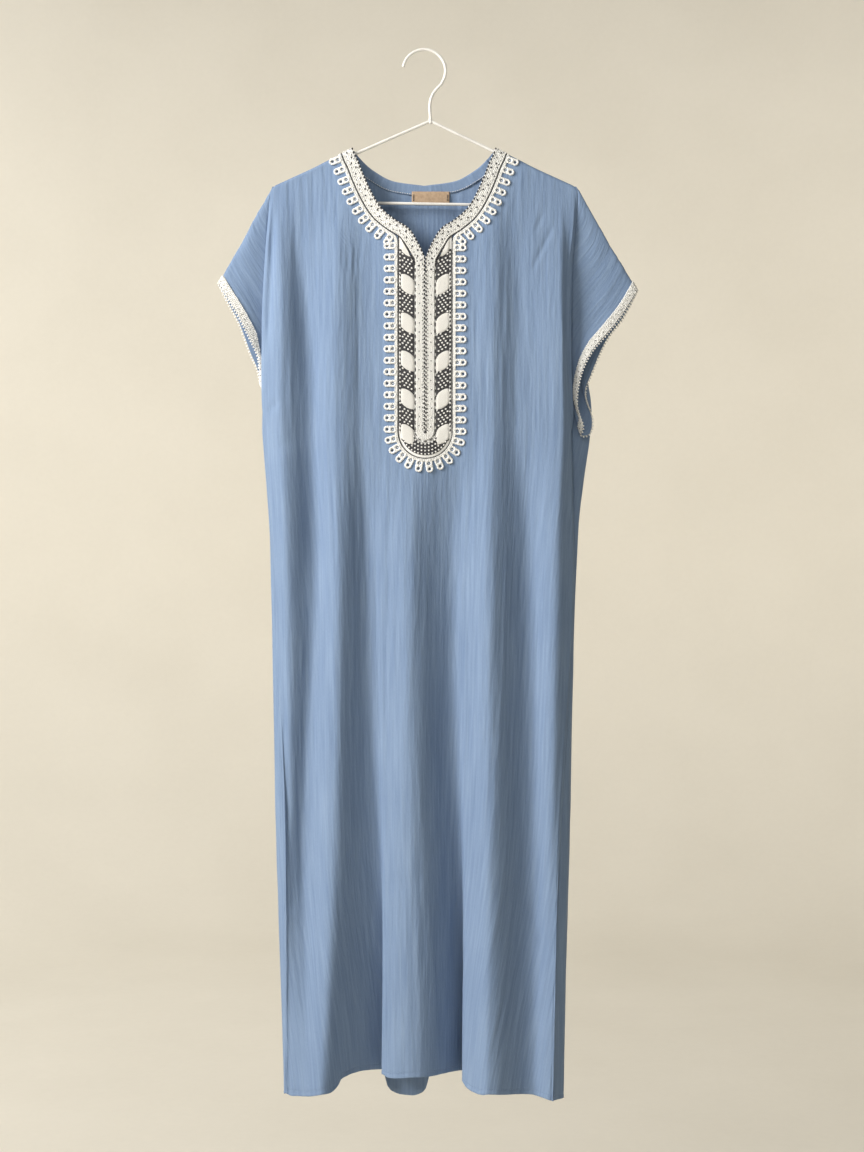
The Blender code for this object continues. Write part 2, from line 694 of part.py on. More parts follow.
def armhole_start(line, side):
    """Where a sleeve's line starts, a seam's gap outside the body."""
    front = ARMHOLE_RIGHT if side < 0 else ARMHOLE_LEFT
    back = BACK_ARMHOLE_RIGHT if side < 0 else BACK_ARMHOLE_LEFT
    if line.face == "crest":
        return front[-1].seam_x + side * CREST_GAPS * SEAM_GAP, 0.0, line.arm_z
    if line.face == "under":
        seam_x = at_height(front, "seam_x", line.arm_z)
        return seam_x + side * SLEEVE_INSET_GAPS * UNDERARM_GAP, UNDERARM_OUT, line.arm_z
    table = front if line.face == "front" else back
    towards = -SLEEVE_INSET_GAPS if line.face == "front" else SLEEVE_INSET_GAPS
    gap = SHOULDER_GAP if line.arm_z > UNDERARM_GAP_Z else UNDERARM_GAP
    x = at_height(table, "seam_x", line.arm_z) + side * gap
    out = at_height(table, "seam_out", line.arm_z) + towards * gap
    return x, out, line.arm_z


def sleeve_point(start, end, fraction):
    """A point between armhole and cuff, which leaves the armhole flat."""
    return (
        lerp(start[0], end[0], fraction),
        lerp(start[1], end[1], fraction**SLEEVE_EASE),
        lerp(start[2], end[2], fraction),
    )


def rounded_loop(points, parts):
    """A closed smooth curve through points, each stretch divided into parts."""
    count = len(points)
    loop = []
    for i in range(count):
        p0, p1, p2, p3 = (Vector(points[(i + k) % count]) for k in (-1, 0, 1, 2))
        for part in range(parts):
            t = part / parts
            loop.append(
                p1
                + (p2 - p0) * 0.5 * t
                + (p0 * 2.0 - p1 * 5.0 + p2 * 4.0 - p3) * 0.5 * t**2
                + (p1 * 3.0 - p0 - p2 * 3.0 + p3) * 0.5 * t**3
            )
    return loop


def sleeve_ring(lines, side, fraction):
    """One ring round a sleeve, a fraction of the way to its cuff."""
    points = [
        sleeve_point(armhole_start(line, side), (line.cuff_x, line.cuff_out, line.cuff_z), fraction)
        for line in lines
    ]
    return [place(*point) for point in rounded_loop(points, LINE_PARTS)]


def tube_faces(rings, flip):
    """The faces round a tube of closed rings."""
    closed = [ring + ring[:1] for ring in rings]
    return grid_faces(closed, flip=flip)


def build_sleeve(name, lines, side, cloth):
    """One sleeve as an open flat tube."""
    rings = [sleeve_ring(lines, side, fraction) for fraction in SLEEVE_STEPS]
    return sheet_object(name, tube_faces(rings, flip=side > 0), CLOTH_WALL, cloth)


def ring_normals(ring, before, after):
    """The direction square to a tube at each point of a ring, from two rings before and after."""
    count = len(ring)
    normals = []
    for i in range(count):
        around = ring[(i + 1) % count] - ring[i - 1]
        along = after[i] - before[i]
        normals.append(around.cross(along).normalized())
    return normals


def build_cuff_braid(name, lines, side, braid):
    """The braid round a cuff, made from the sleeve's points moved out."""
    rings = []
    for row in CUFF_BRAID_ROWS:
        points = []
        for line in lines:
            start = armhole_start(line, side)
            end = (line.cuff_x, line.cuff_out, line.cuff_z)
            length = (Vector(end) - Vector(start)).length
            share = min(CUFF_BRAID_MAX_SHARE, CUFF_BRAID_WIDTH / length)
            points.append(sleeve_point(start, end, 1.0 - share * row))
        rings.append([place(*point) for point in rounded_loop(points, LINE_PARTS)])
    lifted = []
    for index, ring in enumerate(rings):
        before = rings[max(index - 1, 0)]
        after = rings[max(index, 1)]
        normals = ring_normals(rings[max(index, 1)], before, after)
        lowest = min(point.z for point in ring)
        raised = []
        for point, normal in zip(ring, normals):
            near_turn = smooth(1.0 - (point.z - lowest) / (UNDER_TURN_HEIGHT * MM))
            height = CUFF_BRAID_GAP + UNDER_TURN_GAP * near_turn + TRIM_WALL
            raised.append(point - normal * height * MM * side)
        lifted.append(raised)
    return sheet_object(name, tube_faces(lifted, flip=side > 0), TRIM_WALL, braid)


def neckline_path(side):
    """The neck edge of one side from the shoulder to the slit's end."""
    path = []
    for step in NECK_STEPS:
        half, z = neckline_point(step)
        path.append(Vector((neck_centre(z) + side * half, z)))
    top = path[-1].y
    for step in range(1, SLIT_STEPS + 1):
        z = lerp(top, SLIT_END_Z, step / SLIT_STEPS)
        path.append(Vector((CENTRE_X + side * SLIT_HALF, z)))
    return path


def path_normals(path, side):
    """Directions across a path, away from the neck opening and level with the shoulder's top."""
    normals = []
    along_shoulder = Vector((side * SHOULDER_RUN[0], SHOULDER_RUN[1])).normalized()
    travelled = 0.0
    for index, point in enumerate(path):
        before = path[max(index - 1, 0)]
        travelled += (point - before).length
        ahead = path[min(index + 1, len(path) - 1)] - before
        across = Vector((ahead.y, -ahead.x)).normalized() * -side
        share = smooth(travelled / SHOULDER_BLEND)
        normals.append(along_shoulder.lerp(across, share).normalized())
    return normals


def foot_turn(radius, steps):
    """Points round the foot of the slit from the wearer's right to the left."""
    points = []
    for step in range(steps + 1):
        angle = math.pi + math.pi * step / steps
        points.append(
            Vector((CENTRE_X + radius * math.cos(angle), SLIT_END_Z + radius * math.sin(angle)))
        )
    return points


def braid_strip(side):
    """Pairs of points along one side of the neck braid: its inner and outer edge."""
    path = neckline_path(side)
    normals = path_normals(path, side)
    pairs = []
    first, last = NARROWING_STEPS
    for index, (point, normal) in enumerate(zip(path, normals)):
        share = smooth((index - first) / (last - first))
        outer = point + normal * lerp(NECK_BRAID_WIDTH, SLIT_BRAID_WIDTH, share)
        if index >= STRAIGHT_STEP:
            outer.x = CENTRE_X + side * (SLIT_HALF + SLIT_BRAID_WIDTH)
        pairs.append((point, outer))
    return pairs


def build_neck_braid(braid):
    """The braid round the neck and the slit, joined in a round foot below the slit."""
    height = TRIM_GAP + BRAID_WALL
    faces = []
    ends = []
    for side in (-1, 1):
        rows = [[on_front(*point, height) for point in pair] for pair in braid_strip(side)]
        faces += grid_faces(rows, flip=side > 0)
        ends.append(rows[-1][0])
    outer_turn = foot_turn(SLIT_HALF + SLIT_BRAID_WIDTH, FOOT_STEPS)
    foot = [on_front(*point, height) for point in outer_turn]
    half = FOOT_STEPS // 2
    faces += grid_faces([foot, ends[:1] * (half + 1) + ends[1:] * half])
    return sheet_object("neck_braid", faces, BRAID_WALL, braid)


def oval_raise(distance, z):
    """How far an oval of satin stitch stands up at a place across and along the field."""
    half_width = (FIELD_OUTER - FIELD_INNER) / 2 - OVAL_MARGIN
    across = (distance - (FIELD_INNER + FIELD_OUTER) / 2) / half_width
    raised = 0.0
    for index in range(OVAL_COUNT):
        along = (z - (OVAL_FIRST_Z - index * OVAL_PITCH)) / (OVAL_LENGTH / 2)
        raised = max(raised, 1.0 - across**4 - along**4)
    return OVAL_RAISE * math.sqrt(max(0.0, raised))


def field_row_heights():
    """Heights of the rows down a field: at each oval's ends, shoulders and middle."""
    heights = []
    for index in range(OVAL_COUNT):
        centre = OVAL_FIRST_Z - index * OVAL_PITCH
        heights += [centre + offset for offset in OVAL_ROWS]
    top = FIELD_TOP_INNER_Z - FIELD_ROW_MARGIN
    bottom = SLIT_END_Z + FIELD_ROW_MARGIN
    return [z for z in heights if bottom < z < top]


def build_placket_field(lattice):
    """The embroidered field down both sides of the slit and round its foot."""
    distances = [lerp(FIELD_INNER, FIELD_OUTER, share) for share in FIELD_SHARES]
    tops = [lerp(FIELD_TOP_INNER_Z, FIELD_TOP_OUTER_Z, share) for share in FIELD_SHARES]

    def side_rows(side):
        rows = [[(CENTRE_X + side * d, z) for d, z in zip(distances, tops)]]
        for z in field_row_heights():
            rows.append([(CENTRE_X + side * d, z) for d in distances])
        return rows

    def lifted(row):
        points = []
        for distance, (x, z) in zip(distances, row):
            raised = oval_raise(distance, z) if z > SLIT_END_Z else 0.0
            points.append(on_front(x, z, TRIM_GAP + TRIM_WALL + raised))
        return points

    rows = [lifted(row) for row in side_rows(-1)]
    turns = [foot_turn(distance, FOOT_STEPS) for distance in distances]
    rows += [lifted([turn[step] for turn in turns]) for step in range(FOOT_STEPS + 1)]
    rows += [lifted(row) for row in side_rows(1)[::-1]]
    return sheet_object("placket_field", grid_faces(rows), TRIM_WALL, lattice)


def edging_path():
    """The inner edge of the looped edging, shoulder to shoulder, as points with directions out."""
    halves = []
    for side in (-1, 1):
        path = neckline_path(side)
        points = []
        for start, normal in zip(path, path_normals(path, side)):
            point = start + normal * EDGING_NECK_OFFSET
            point.y = min(point.y, crest(point.x) - EDGING_CREST_GAP)
            if abs(point.x - CENTRE_X) <= EDGING_PLACKET_OFFSET + EDGING_CORNER_REACH:
                break
            points.append(point)
        for z in (points[-1].y - EDGING_CORNER_DROP, SLIT_END_Z):
            points.append(Vector((CENTRE_X + side * EDGING_PLACKET_OFFSET, z)))
        halves.append(points)
    turn = foot_turn(EDGING_PLACKET_OFFSET, EDGING_FOOT_STEPS)
    return halves[0] + turn[1:-1] + halves[1][::-1]


def walk(points, distance):
    """The point and direction at a distance along a run of points."""
    for before, after in zip(points, points[1:]):
        length = (after - before).length
        if distance <= length:
            return before + (after - before) * (distance / length), (after - before).normalized()
        distance -= length
    return points[-1].copy(), (points[-1] - points[-2]).normalized()


def edging_point(x, z):
    """A point of the edging's outer face, kept under the shoulder's top."""
    return on_front(x, min(z, crest(x) - EDGING_CREST_GAP), TRIM_GAP + TRIM_WALL)


def band_point(path, total, distance, reach):
    """A point of the edging's band, out from its path along the mean direction across it."""
    point, ahead = walk(path, distance)
    before = walk(path, max(0.0, distance - EDGING_BLEND))[1]
    after = walk(path, min(total, distance + EDGING_BLEND))[1]
    mean = (before + after + ahead).normalized()
    return edging_point(point.x + mean.y * reach, point.y - mean.x * reach)


def loop_rows(path, middle):
    """The pairs of points across one loop past the band."""
    point, ahead = walk(path, middle)
    rows = []
    for reach_share, half_share in LOOP_OUTLINE:
        reach = lerp(EDGING_WIDTH, LOOP_LENGTH, reach_share)
        row = []
        for half in (-LOOP_WIDTH * half_share, LOOP_WIDTH * half_share):
            x = point.x + ahead.y * reach + ahead.x * half
            z = point.y - ahead.x * reach + ahead.y * half
            row.append(edging_point(x, z))
        rows.append(row)
    return rows


def build_looped_edging(braid):
    """The edging: a narrow band with a rounded loop at each pitch."""
    path = edging_path()
    total = sum((after - before).length for before, after in zip(path, path[1:]))
    count = round(total / LOOP_PITCH)
    pitch = total / count
    faces = []
    for index in range(count):
        start = index * pitch
        left = start + (pitch - LOOP_WIDTH) / 2
        right = left + LOOP_WIDTH
        stops = (start, left, right, start + pitch)
        band = [
            [band_point(path, total, stop, reach) for stop in stops] for reach in (0.0, EDGING_WIDTH)
        ]
        faces += grid_faces(band)
        faces += grid_faces([band[1][1:3]] + loop_rows(path, (left + right) / 2))
    return sheet_object("looped_edging", faces, TRIM_WALL, braid)


def back_out(x, z):
    """How far the back's outer face stands out near the neck, as a negative distance."""
    top_first, top_last = back_top_ends()
    inner = BACK_LINES[BACK_CORNERS[0] : BACK_CORNERS[1] + 1]
    share = (x - top_first) / (top_last - top_first)
    chest_x = lerp(inner[0].chest_x, inner[-1].chest_x, share)
    chest_out = through(column_of(inner, "chest_x"), column_of(inner, "chest_out"), chest_x)
    return -drape(x, z, -chest_out)


def build_neck_facing(cloth):
    """The facing inside the back neck, from the neck's edge down."""
    rows = [[], [], []]
    for step in range(FACING_STEPS + 1):
        x = SHOULDER_CENTRE_X + lerp(-FACING_HALF, FACING_HALF, step / FACING_STEPS)
        slope = (back_top(x + 1.0) - back_top(x - 1.0)) / 2.0
        length = math.hypot(1.0, slope)
        for row, share in zip(rows, (1.0, 0.5, 0.0)):
            down = FACING_WIDTH * share
            at_x = x + slope / length * down
            at_z = back_top(x) - FACING_TOP_GAP - down / length
            out = back_out(at_x, at_z) + CLOTH_WALL + TRIM_GAP + FACING_WALL
            row.append(place(at_x, out, at_z))
    return sheet_object("neck_facing", grid_faces(rows), FACING_WALL, cloth)


def build_neck_label(label):
    """The bare label, stitched over the facing's lower edge."""
    rows = []
    for down in (1.0, 0.5, 0.0):
        row = []
        for across in (-0.5, -0.25, 0.0, 0.25, 0.5):
            x = LABEL_X + across * LABEL_WIDTH
            z = LABEL_TOP_Z - down * LABEL_HEIGHT
            behind = CLOTH_WALL + TRIM_GAP + FACING_WALL + TRIM_GAP
            row.append(place(x, back_out(x, z) + behind + LABEL_WALL, z))
        rows.append(row)
    return sheet_object("neck_label", grid_faces(rows), LABEL_WALL, label)


def wire_object(name, points, closed, wire):
    """A round wire along points given as x and z."""
    curve = bpy.data.curves.new(name, "CURVE")
    curve.dimensions = "3D"
    spline = curve.splines.new("POLY")
    spline.points.add(len(points) - 1)
    for target, (x, z) in zip(spline.points, points):
        target.co = (x * MM, 0.0, z * MM, 1.0)
    spline.use_cyclic_u = closed
    spline.use_smooth = True
    curve.bevel_depth = WIRE_RADIUS * MM
    curve.bevel_resolution = WIRE_SIDES_RESOLUTION
    curve.use_fill_caps = not closed
    curve.materials.append(wire)
    obj = bpy.data.objects.new(name, curve)
    bpy.context.collection.objects.link(obj)
    return obj


def bend(corner, before, after, radius):
    """Points round one corner of the frame, bent to a radius."""
    to_before = (before - corner).normalized()
    to_after = (after - corner).normalized()
    half = to_before.angle(to_after) / 2.0
    tangent = radius / math.tan(half)
    middle = corner + (to_before + to_after).normalized() * (radius / math.sin(half))
    start = corner + to_before * tangent - middle
    end = corner + to_after * tangent - middle
    turned = [start.slerp(end, step / BEND_STEPS) for step in range(BEND_STEPS + 1)]
    return [middle + direction.normalized() * radius for direction in turned]


def build_hanger(wire):
    """The hook, and the frame of two arms and a bar."""
    tip, end = math.radians(HOOK_TIP_ANGLE), math.radians(HOOK_END_ANGLE)
    hook = []
    for step in range(HOOK_ARC_STEPS + 1):
        angle = lerp(tip, end, step / HOOK_ARC_STEPS)
        hook.append(
            (
                HOOK_CENTRE[0] + HOOK_RADIUS * math.cos(angle),
                HOOK_CENTRE[1] + HOOK_RADIUS * math.sin(angle),
            )
        )
    wire_object("hanger_hook", hook + list(HOOK_STEM), False, wire)

    drop = HANGER_HALF * math.tan(math.radians(ARM_ANGLE))
    corners = [
        (Vector((0.0, 0.0)), APEX_BEND),
        (Vector((HANGER_HALF, -drop)), CORNER_BEND),
        (Vector((HANGER_HALF, -BAR_DROP)), CORNER_BEND),
        (Vector((-HANGER_HALF, -BAR_DROP)), CORNER_BEND),
        (Vector((-HANGER_HALF, -drop)), CORNER_BEND),
    ]
    tilt = math.radians(HANGER_TILT)
    frame = []
    for index, (corner, radius) in enumerate(corners):
        before = corners[index - 1][0]
        after = corners[(index + 1) % len(corners)][0]
        for point in bend(corner, before, after, radius):
            turned_x = point.x * math.cos(tilt) - point.y * math.sin(tilt)
            turned_z = point.x * math.sin(tilt) + point.y * math.cos(tilt)
            frame.append((APEX[0] + turned_x, APEX[1] + turned_z))
    wire_object("hanger_frame", frame, True, wire)


def main():
    """Build every piece."""
    clear_scene()
    cloth = make_material("blue_cotton", BLUE_CLOTH, 0.85)
    braid = make_material("white_braid", WHITE_BRAID, 0.8)
    lattice = make_material("charcoal_lattice", CHARCOAL_LATTICE, 0.8)
    build_front(cloth)
    build_back(cloth)
    build_sleeve("sleeve_right", SLEEVE_RIGHT, -1, cloth)
    build_sleeve("sleeve_left", SLEEVE_LEFT, 1, cloth)
    build_neck_braid(braid)
    build_placket_field(lattice)
    build_looped_edging(braid)
    build_cuff_braid("cuff_braid_right", SLEEVE_RIGHT, -1, braid)
    build_cuff_braid("cuff_braid_left", SLEEVE_LEFT, 1, braid)
    build_neck_facing(cloth)
    build_neck_label(make_material("tan_label", TAN_LABEL, 0.7))
    build_hanger(make_material("white_wire", WHITE_WIRE, 0.35))


main()
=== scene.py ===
"""Looks of a short-sleeved djellaba of crinkled blue cotton, hung on a coated wire hanger.

Blender works in metres, and every table and size here is in millimetres, turned into metres by MM
where a mesh is made. +Z is up, the front faces -Y and the wearer's left is at +X. An "out" is a
distance towards the viewer, so it is -Y. Cloth coordinates are millimetres on the cloth itself.
"""

from __future__ import annotations

import logging
from collections.abc import Callable, Sequence
from dataclasses import dataclass, field
from enum import Enum, IntEnum

import bmesh
import bpy
import numpy as np
from mathutils import Matrix, Vector


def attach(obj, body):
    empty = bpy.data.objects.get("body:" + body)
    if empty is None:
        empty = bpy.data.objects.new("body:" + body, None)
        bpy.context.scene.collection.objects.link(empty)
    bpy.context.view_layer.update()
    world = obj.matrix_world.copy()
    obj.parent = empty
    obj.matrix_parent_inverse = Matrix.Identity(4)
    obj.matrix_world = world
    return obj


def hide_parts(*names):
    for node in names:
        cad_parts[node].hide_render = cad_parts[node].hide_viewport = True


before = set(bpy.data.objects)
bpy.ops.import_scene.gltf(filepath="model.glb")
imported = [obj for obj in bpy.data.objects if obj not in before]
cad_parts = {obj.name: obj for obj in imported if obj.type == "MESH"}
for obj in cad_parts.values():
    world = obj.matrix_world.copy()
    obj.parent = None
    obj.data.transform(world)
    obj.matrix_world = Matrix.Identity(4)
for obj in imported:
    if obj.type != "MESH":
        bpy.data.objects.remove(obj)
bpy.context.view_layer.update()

log = logging.getLogger("djellaba")
Array = np.ndarray
Material = bpy.types.Material
Piece = bpy.types.Object
Socket = bpy.types.NodeSocket
Colour = Place = Size = tuple[float, float, float]
Way = tuple[float, float]
Frames = tuple[Array, Array, Array]

MM = 0.001
BODY = "root"


class Face(Enum):
    """The part of the armhole from which a line of a sleeve starts."""

    CREST = "crest"
    FRONT = "front"
    UNDER = "under"
    BACK = "back"


class Side(Enum):
    """The wearer's side that a piece is on, with the sign of its x."""

    RIGHT = -1
    LEFT = 1


# Heights of the cross-sections, below the top of the hook's inside.
SLIT_END_Z = -535.0
STATIONS = (-1440.0, -1120.0, -700.0, SLIT_END_Z)
HEM_HEIGHT = 905.0

# The neckline and the slit under it.
CENTRE_X = -1.0
SLIT_HALF = 0.6
SLIT_END = np.array((CENTRE_X, SLIT_END_Z))
SHOULDER_CENTRE_X = -2.8
NECK_HALF = 100.0
SLIT_FRACTION = 0.56
SLIT_LINE = 7
NECK_SHIFT_BASE_Z = -300.0
NECK_SHIFT_HEIGHT = 160.0

# The side seams and the fold lines between them, each with its x and out at chest, waist, knee and hem.
RIGHT_SEAM = (-226, 4, -216, 6, -196, 30, -193, 34)
LEFT_SEAM = (204, 1, 208, 7, 184, 47, 173.5, 77)
# The front's lines, from the wearer's right.
FRONT_LINES = np.array((
    RIGHT_SEAM,
    (-221, 15, -212, 16, -191, 29, -187, 38),
    (-199, 26, -192, 30, -184, 27, -176, 46),
    (-164, 18, -156, 18, -171, 22, -164, 54),
    (-120, 30, -120, 36, -126, 50, -141, 70),
    (-86, 23, -82, 18, -79, 18, -81, 5),
    (-47, 27, -57, 26, -58, 32, -62, 40),
    (-1, 28, -21, 38, -20, 50, -20, 60),
    (46, 27, 36, 20, 35, 14, 34, 3),
    (67, 28, 57, 28, 55, 32, 50, 50),
    (93, 32, 88, 44, 89, 62, 84, 94),
    (128, 22, 139, 22, 144, 34, 145, 66),
    (188, 30, 180, 40, 172, 50, 162, 76),
    (202, 18, 203, 22, 180, 50, 168, 79),
    LEFT_SEAM,
), float)
# The same for the back, which wraps round both sides.
BACK_LINES = np.array((
    RIGHT_SEAM,
    (-229, -1, -218, 2, -203, 24, -197, 24),
    (-230, -6, -219, -4, -209, 8, -198, 6),
    (-223, -14, -213, -13, -201, -10, -187, -10),
    (-178, -19, -171, -20, -164, -20, -153, -20),
    (-110, -14, -114, -13, -110, -11, -104, -9),
    (-60, -20, -60, -20, -56, -21, -52, -20),
    (-3, -15, -1, -14, -1, -11, -1, -9),
    (54, -20, 58, -21, 54, -21, 51, -21),
    (106, -14, 112, -14, 106, -12, 102, -10),
    (175, -19, 168, -20, 154, -20, 147, -20),
    (222, -17, 201, -14, 190, -11, 179, -10),
    (231, -11, 211, -4, 200, 8, 190, 10),
    (222, -7, 211.5, 3, 195, 36, 189, 52),
    LEFT_SEAM,
), float)
BACK_CORNERS = (3, 11)
# The front's hem: fold line number and height.
FRONT_HEM = np.array((
    (0, -1449), (1, -1451), (2, -1449), (3, -1447), (4, -1440), (4.15, -1439.5), (4.3, -1433),
    (4.36, -1424), (4.58, -1420.5), (5, -1424), (6, -1421), (6.25, -1424), (6.6, -1422.5),
    (7, -1420), (7.4, -1421), (8, -1426), (8.6, -1428), (9, -1430), (9.15, -1434), (9.4, -1435.5),
    (9.7, -1435), (10, -1433), (10.5, -1437), (11, -1441), (12, -1443.5), (13, -1445), (14, -1446),
), float)
# The back's hem, which hangs low under the middle fold alone: fold line number and height.
BACK_HEM = np.array((
    (0, -1449), (1, -1452), (2, -1453), (3, -1457), (4, -1449), (4.5, -1437), (5, -1428.5),
    (5.76, -1429.5), (5.86, -1437), (5.95, -1454), (6.08, -1461.5), (6.35, -1465.5),
    (6.62, -1465.5), (6.88, -1461.5), (7.02, -1454), (7.1, -1438), (7.2, -1431), (8, -1430),
    (8.5, -1438), (9, -1446), (10, -1457), (11, -1460), (12, -1457), (13, -1449), (14, -1446),
), float)
TURN_LENGTH = 3.0
# The last fold line, and how many steps a line is measured in.
LAST_LINE = 14.0
FINE_STEPS = 900

# The shoulders' top and how the cloth stands out under it, and the two necklines.
SHOULDER_CREST = np.array(
    ((0, -90), (100, -136.5), (128, -150), (155.5, -164), (188, -179), (212, -190)), float
)
DRAPE = np.array(((0, 0.25), (1, 2.4), (4, 4.2), (12, 5), (30, 7), (60, 9.5), (120, 13)), float)
DRAPE_DEPTH = 220.0
NECKLINE = np.array((
    (SLIT_HALF, -294), (8.5, -276), (22, -254), (42, -240), (59, -225), (72, -204), (84, -177),
    (92, -156), (96, -148), (NECK_HALF, -136.5),
), float)
BACK_NECKLINE = np.array(((0, -186), (42, -180), (72, -165), (91, -148), (NECK_HALF, -136.5)), float)

# Armholes from the chest up: z, seam x and out, turn x and out, edge x of the front.
ARMHOLES = {
    Side.RIGHT: np.array((
        (-535, -226, 4, -224.5, 6.6, -221), (-495, -224.5, 2.5, -228.8, 9, -224),
        (-455, -223.5, 2, -229.6, 9, -225), (-385, -224, 2, -229.3, 9, -224),
        (-300, -223, 3, -226, 8, -221), (-250, -221.5, 4, -222, 6.5, -218),
        (-210, -218.6, 4.6, -217, 5, -214), (-196, -216, 3.9, -214.8, 4.1, -212.5),
        (-191.2, -214.4, 2.4, -213, 2.6, -211), (-190, -214, 0.3, -212.6, 0.3, -210.5),
    ), float),
    Side.LEFT: np.array((
        (-535, 204, 1, 203, 3.2, 202), (-505, 202, 2, 205.8, 9, 201), (-455, 200, 2, 205.3, 9, 200),
        (-385, 200, 2, 205, 9, 199.5), (-300, 203.5, 3, 206, 8, 201), (-250, 208, 4, 209, 6.5, 205),
        (-210, 211.5, 4.6, 210.5, 5, 207.5), (-196, 211, 3.9, 209.8, 4.1, 207),
        (-191.2, 209.4, 2.4, 208, 2.6, 206), (-190, 209, 0.3, 207.6, 0.3, 205.5),
    ), float),
}
# The back's side of the armholes: z, seam x and out, x and out of the fold beside it.
BACK_ARMHOLES = {
    Side.RIGHT: np.array((
        (-535, -226.2, 3.6, -230, -6), (-498, -225, 1.9, -229, -8), (-478, -224.5, -6, -225, -10.5),
        (-455, -224.5, -8, -224, -11.5), (-385, -225, -9, -224, -12), (-300, -223.5, -8.5, -222, -11),
        (-250, -221.5, -7, -219, -8.5), (-210, -218.6, -4.8, -216.6, -5.5),
        (-196, -216, -3.9, -214.2, -4.3), (-191.2, -214.4, -2.4, -213, -2.6),
        (-190, -214, -0.3, -212.6, -0.3),
    ), float),
    Side.LEFT: np.array((
        (-535, 204.3, 0.6, 231, -11), (-508, 202.4, 1.5, 233, -11), (-487, 207, -5, 232, -12),
        (-455, 215, -7.5, 227, -13), (-385, 218, -8, 221.5, -13), (-300, 213, -8, 212.5, -12),
        (-250, 211.5, -7, 209.5, -9), (-210, 211.5, -4.8, 209.8, -5.6), (-196, 211, -3.9, 209.4, -4.3),
        (-191.2, 209.4, -2.4, 208, -2.6), (-190, 209, -0.3, 207.6, -0.3),
    ), float),
}
SHOULDER_TOP_Z = -190.0
BACK_TOP_ENDS = (-210.1, 205.1)

# Lines round each sleeve, by the part of the armhole that they start from: the height there, and
# the x, out and z on the cuff.
SLEEVE_LINES = {
    Side.RIGHT: {
        Face.CREST: ((-190.4, -290, 0, -325),),
        Face.FRONT: (
            (-194, -287, 3.5, -330), (-225, -277, 7, -346), (-300, -261, 10, -372),
            (-380, -245, 10, -404), (-440, -234, 5, -430), (-470, -232, 2, -453),
        ),
        Face.UNDER: ((-480, -231.5, -2.5, -467),),
        Face.BACK: (
            (-468, -233, -6.5, -458), (-440, -237, -8, -443), (-380, -247, -8.5, -420),
            (-300, -262, -9, -380), (-225, -278, -7, -350), (-194, -287, -3.5, -331),
        ),
    },
    Side.LEFT: {
        Face.CREST: ((-190.4, 295, 0, -334),),
        Face.FRONT: (
            (-194, 291, 4, -342), (-225, 274, 7.5, -369), (-300, 252, 12, -397),
            (-360, 229.5, 15, -424), (-420, 215.5, 15, -455), (-465, 210.5, 13, -493),
            (-483, 219, 9, -524),
        ),
        Face.UNDER: ((-486, 217, 5, -538),),
        Face.BACK: (
            (-476, 229, 1, -535), (-468, 232, -1, -514), (-448, 222.5, -3, -480),
            (-400, 232, -5.5, -450), (-330, 252, -7, -405), (-225, 276, -7, -372),
            (-194, 291, -4, -343),
        ),
    },
}
# How much later a sleeve takes on its cuff's depth than its place.
SLEEVE_EASE = 1.6


def lerp(start: float | Array, end: float | Array, fraction: float | Array) -> float | Array:
    """Return the value that lies a fraction of the way from start to end."""
    return start + (end - start) * fraction


def smooth(fraction: float | Array) -> Array:
    """Return a soft step from 0 to 1."""
    held = np.clip(fraction, 0.0, 1.0)
    return held * held * (3.0 - 2.0 * held)


def bump(distance: float | Array, width: float) -> Array:
    """Return a soft hill of height 1 at distance 0."""
    return np.exp(-np.square(np.asarray(distance) / width))


def through(knots: Array, values: Array, at: Array) -> Array:
    """Read a smooth curve through rising knots that turns only at the knots.

    Args:
        knots: Rising places, as (knots,) or as (knots, places) where they differ by place.
        values: The curve's values there, in either shape.
        at: The places to read.

    Returns:
        The values, in the shape of at.
    """
    wanted = np.asarray(at, float)
    flat = wanted.ravel()
    count = len(knots)
    rises = np.broadcast_to(np.reshape(knots, (count, -1)), (count, flat.size)).astype(float)
    heights = np.broadcast_to(np.reshape(values, (count, -1)), (count, flat.size)).astype(float)
    steps = np.diff(rises, axis=0)
    slopes = np.diff(heights, axis=0) / steps
    before, after = slopes[:-1], slopes[1:]
    agree = before * after > 0.0
    middle = np.where(agree, 2.0 * before * after / np.where(agree, before + after, 1.0), 0.0)
    tangents = np.concatenate((slopes[:1], middle, slopes[-1:]))
    index = np.clip((rises <= flat).sum(axis=0) - 1, 0, count - 2)
    place = np.arange(flat.size)
    width = steps[index, place]
    t = np.clip((flat - rises[index, place]) / width, 0.0, 1.0)
    result = (
        heights[index, place] * (2 * t**3 - 3 * t**2 + 1)
        + tangents[index, place] * width * (t**3 - 2 * t**2 + t)
        + heights[index + 1, place] * (3 * t**2 - 2 * t**3)
        + tangents[index + 1, place] * width * (t**3 - t**2)
    )
    return result.reshape(wanted.shape)


def read(table: Array, column: int, at: Array) -> Array:
    """Read one column of a table as a smooth curve over its first column."""
    return through(table[:, 0], table[:, column], at)


def run_along(points: Array) -> Array:
    """Return how far along a line of points each one lies."""
    return np.append(0.0, np.cumsum(np.linalg.norm(np.diff(points, axis=0), axis=1)))


def read_along(at: Array, run: Array, values: Array) -> Array:
    """Read rows of values at distances along a line, whose run is given."""
    return np.stack([np.interp(at, run, column) for column in values.T], axis=-1)


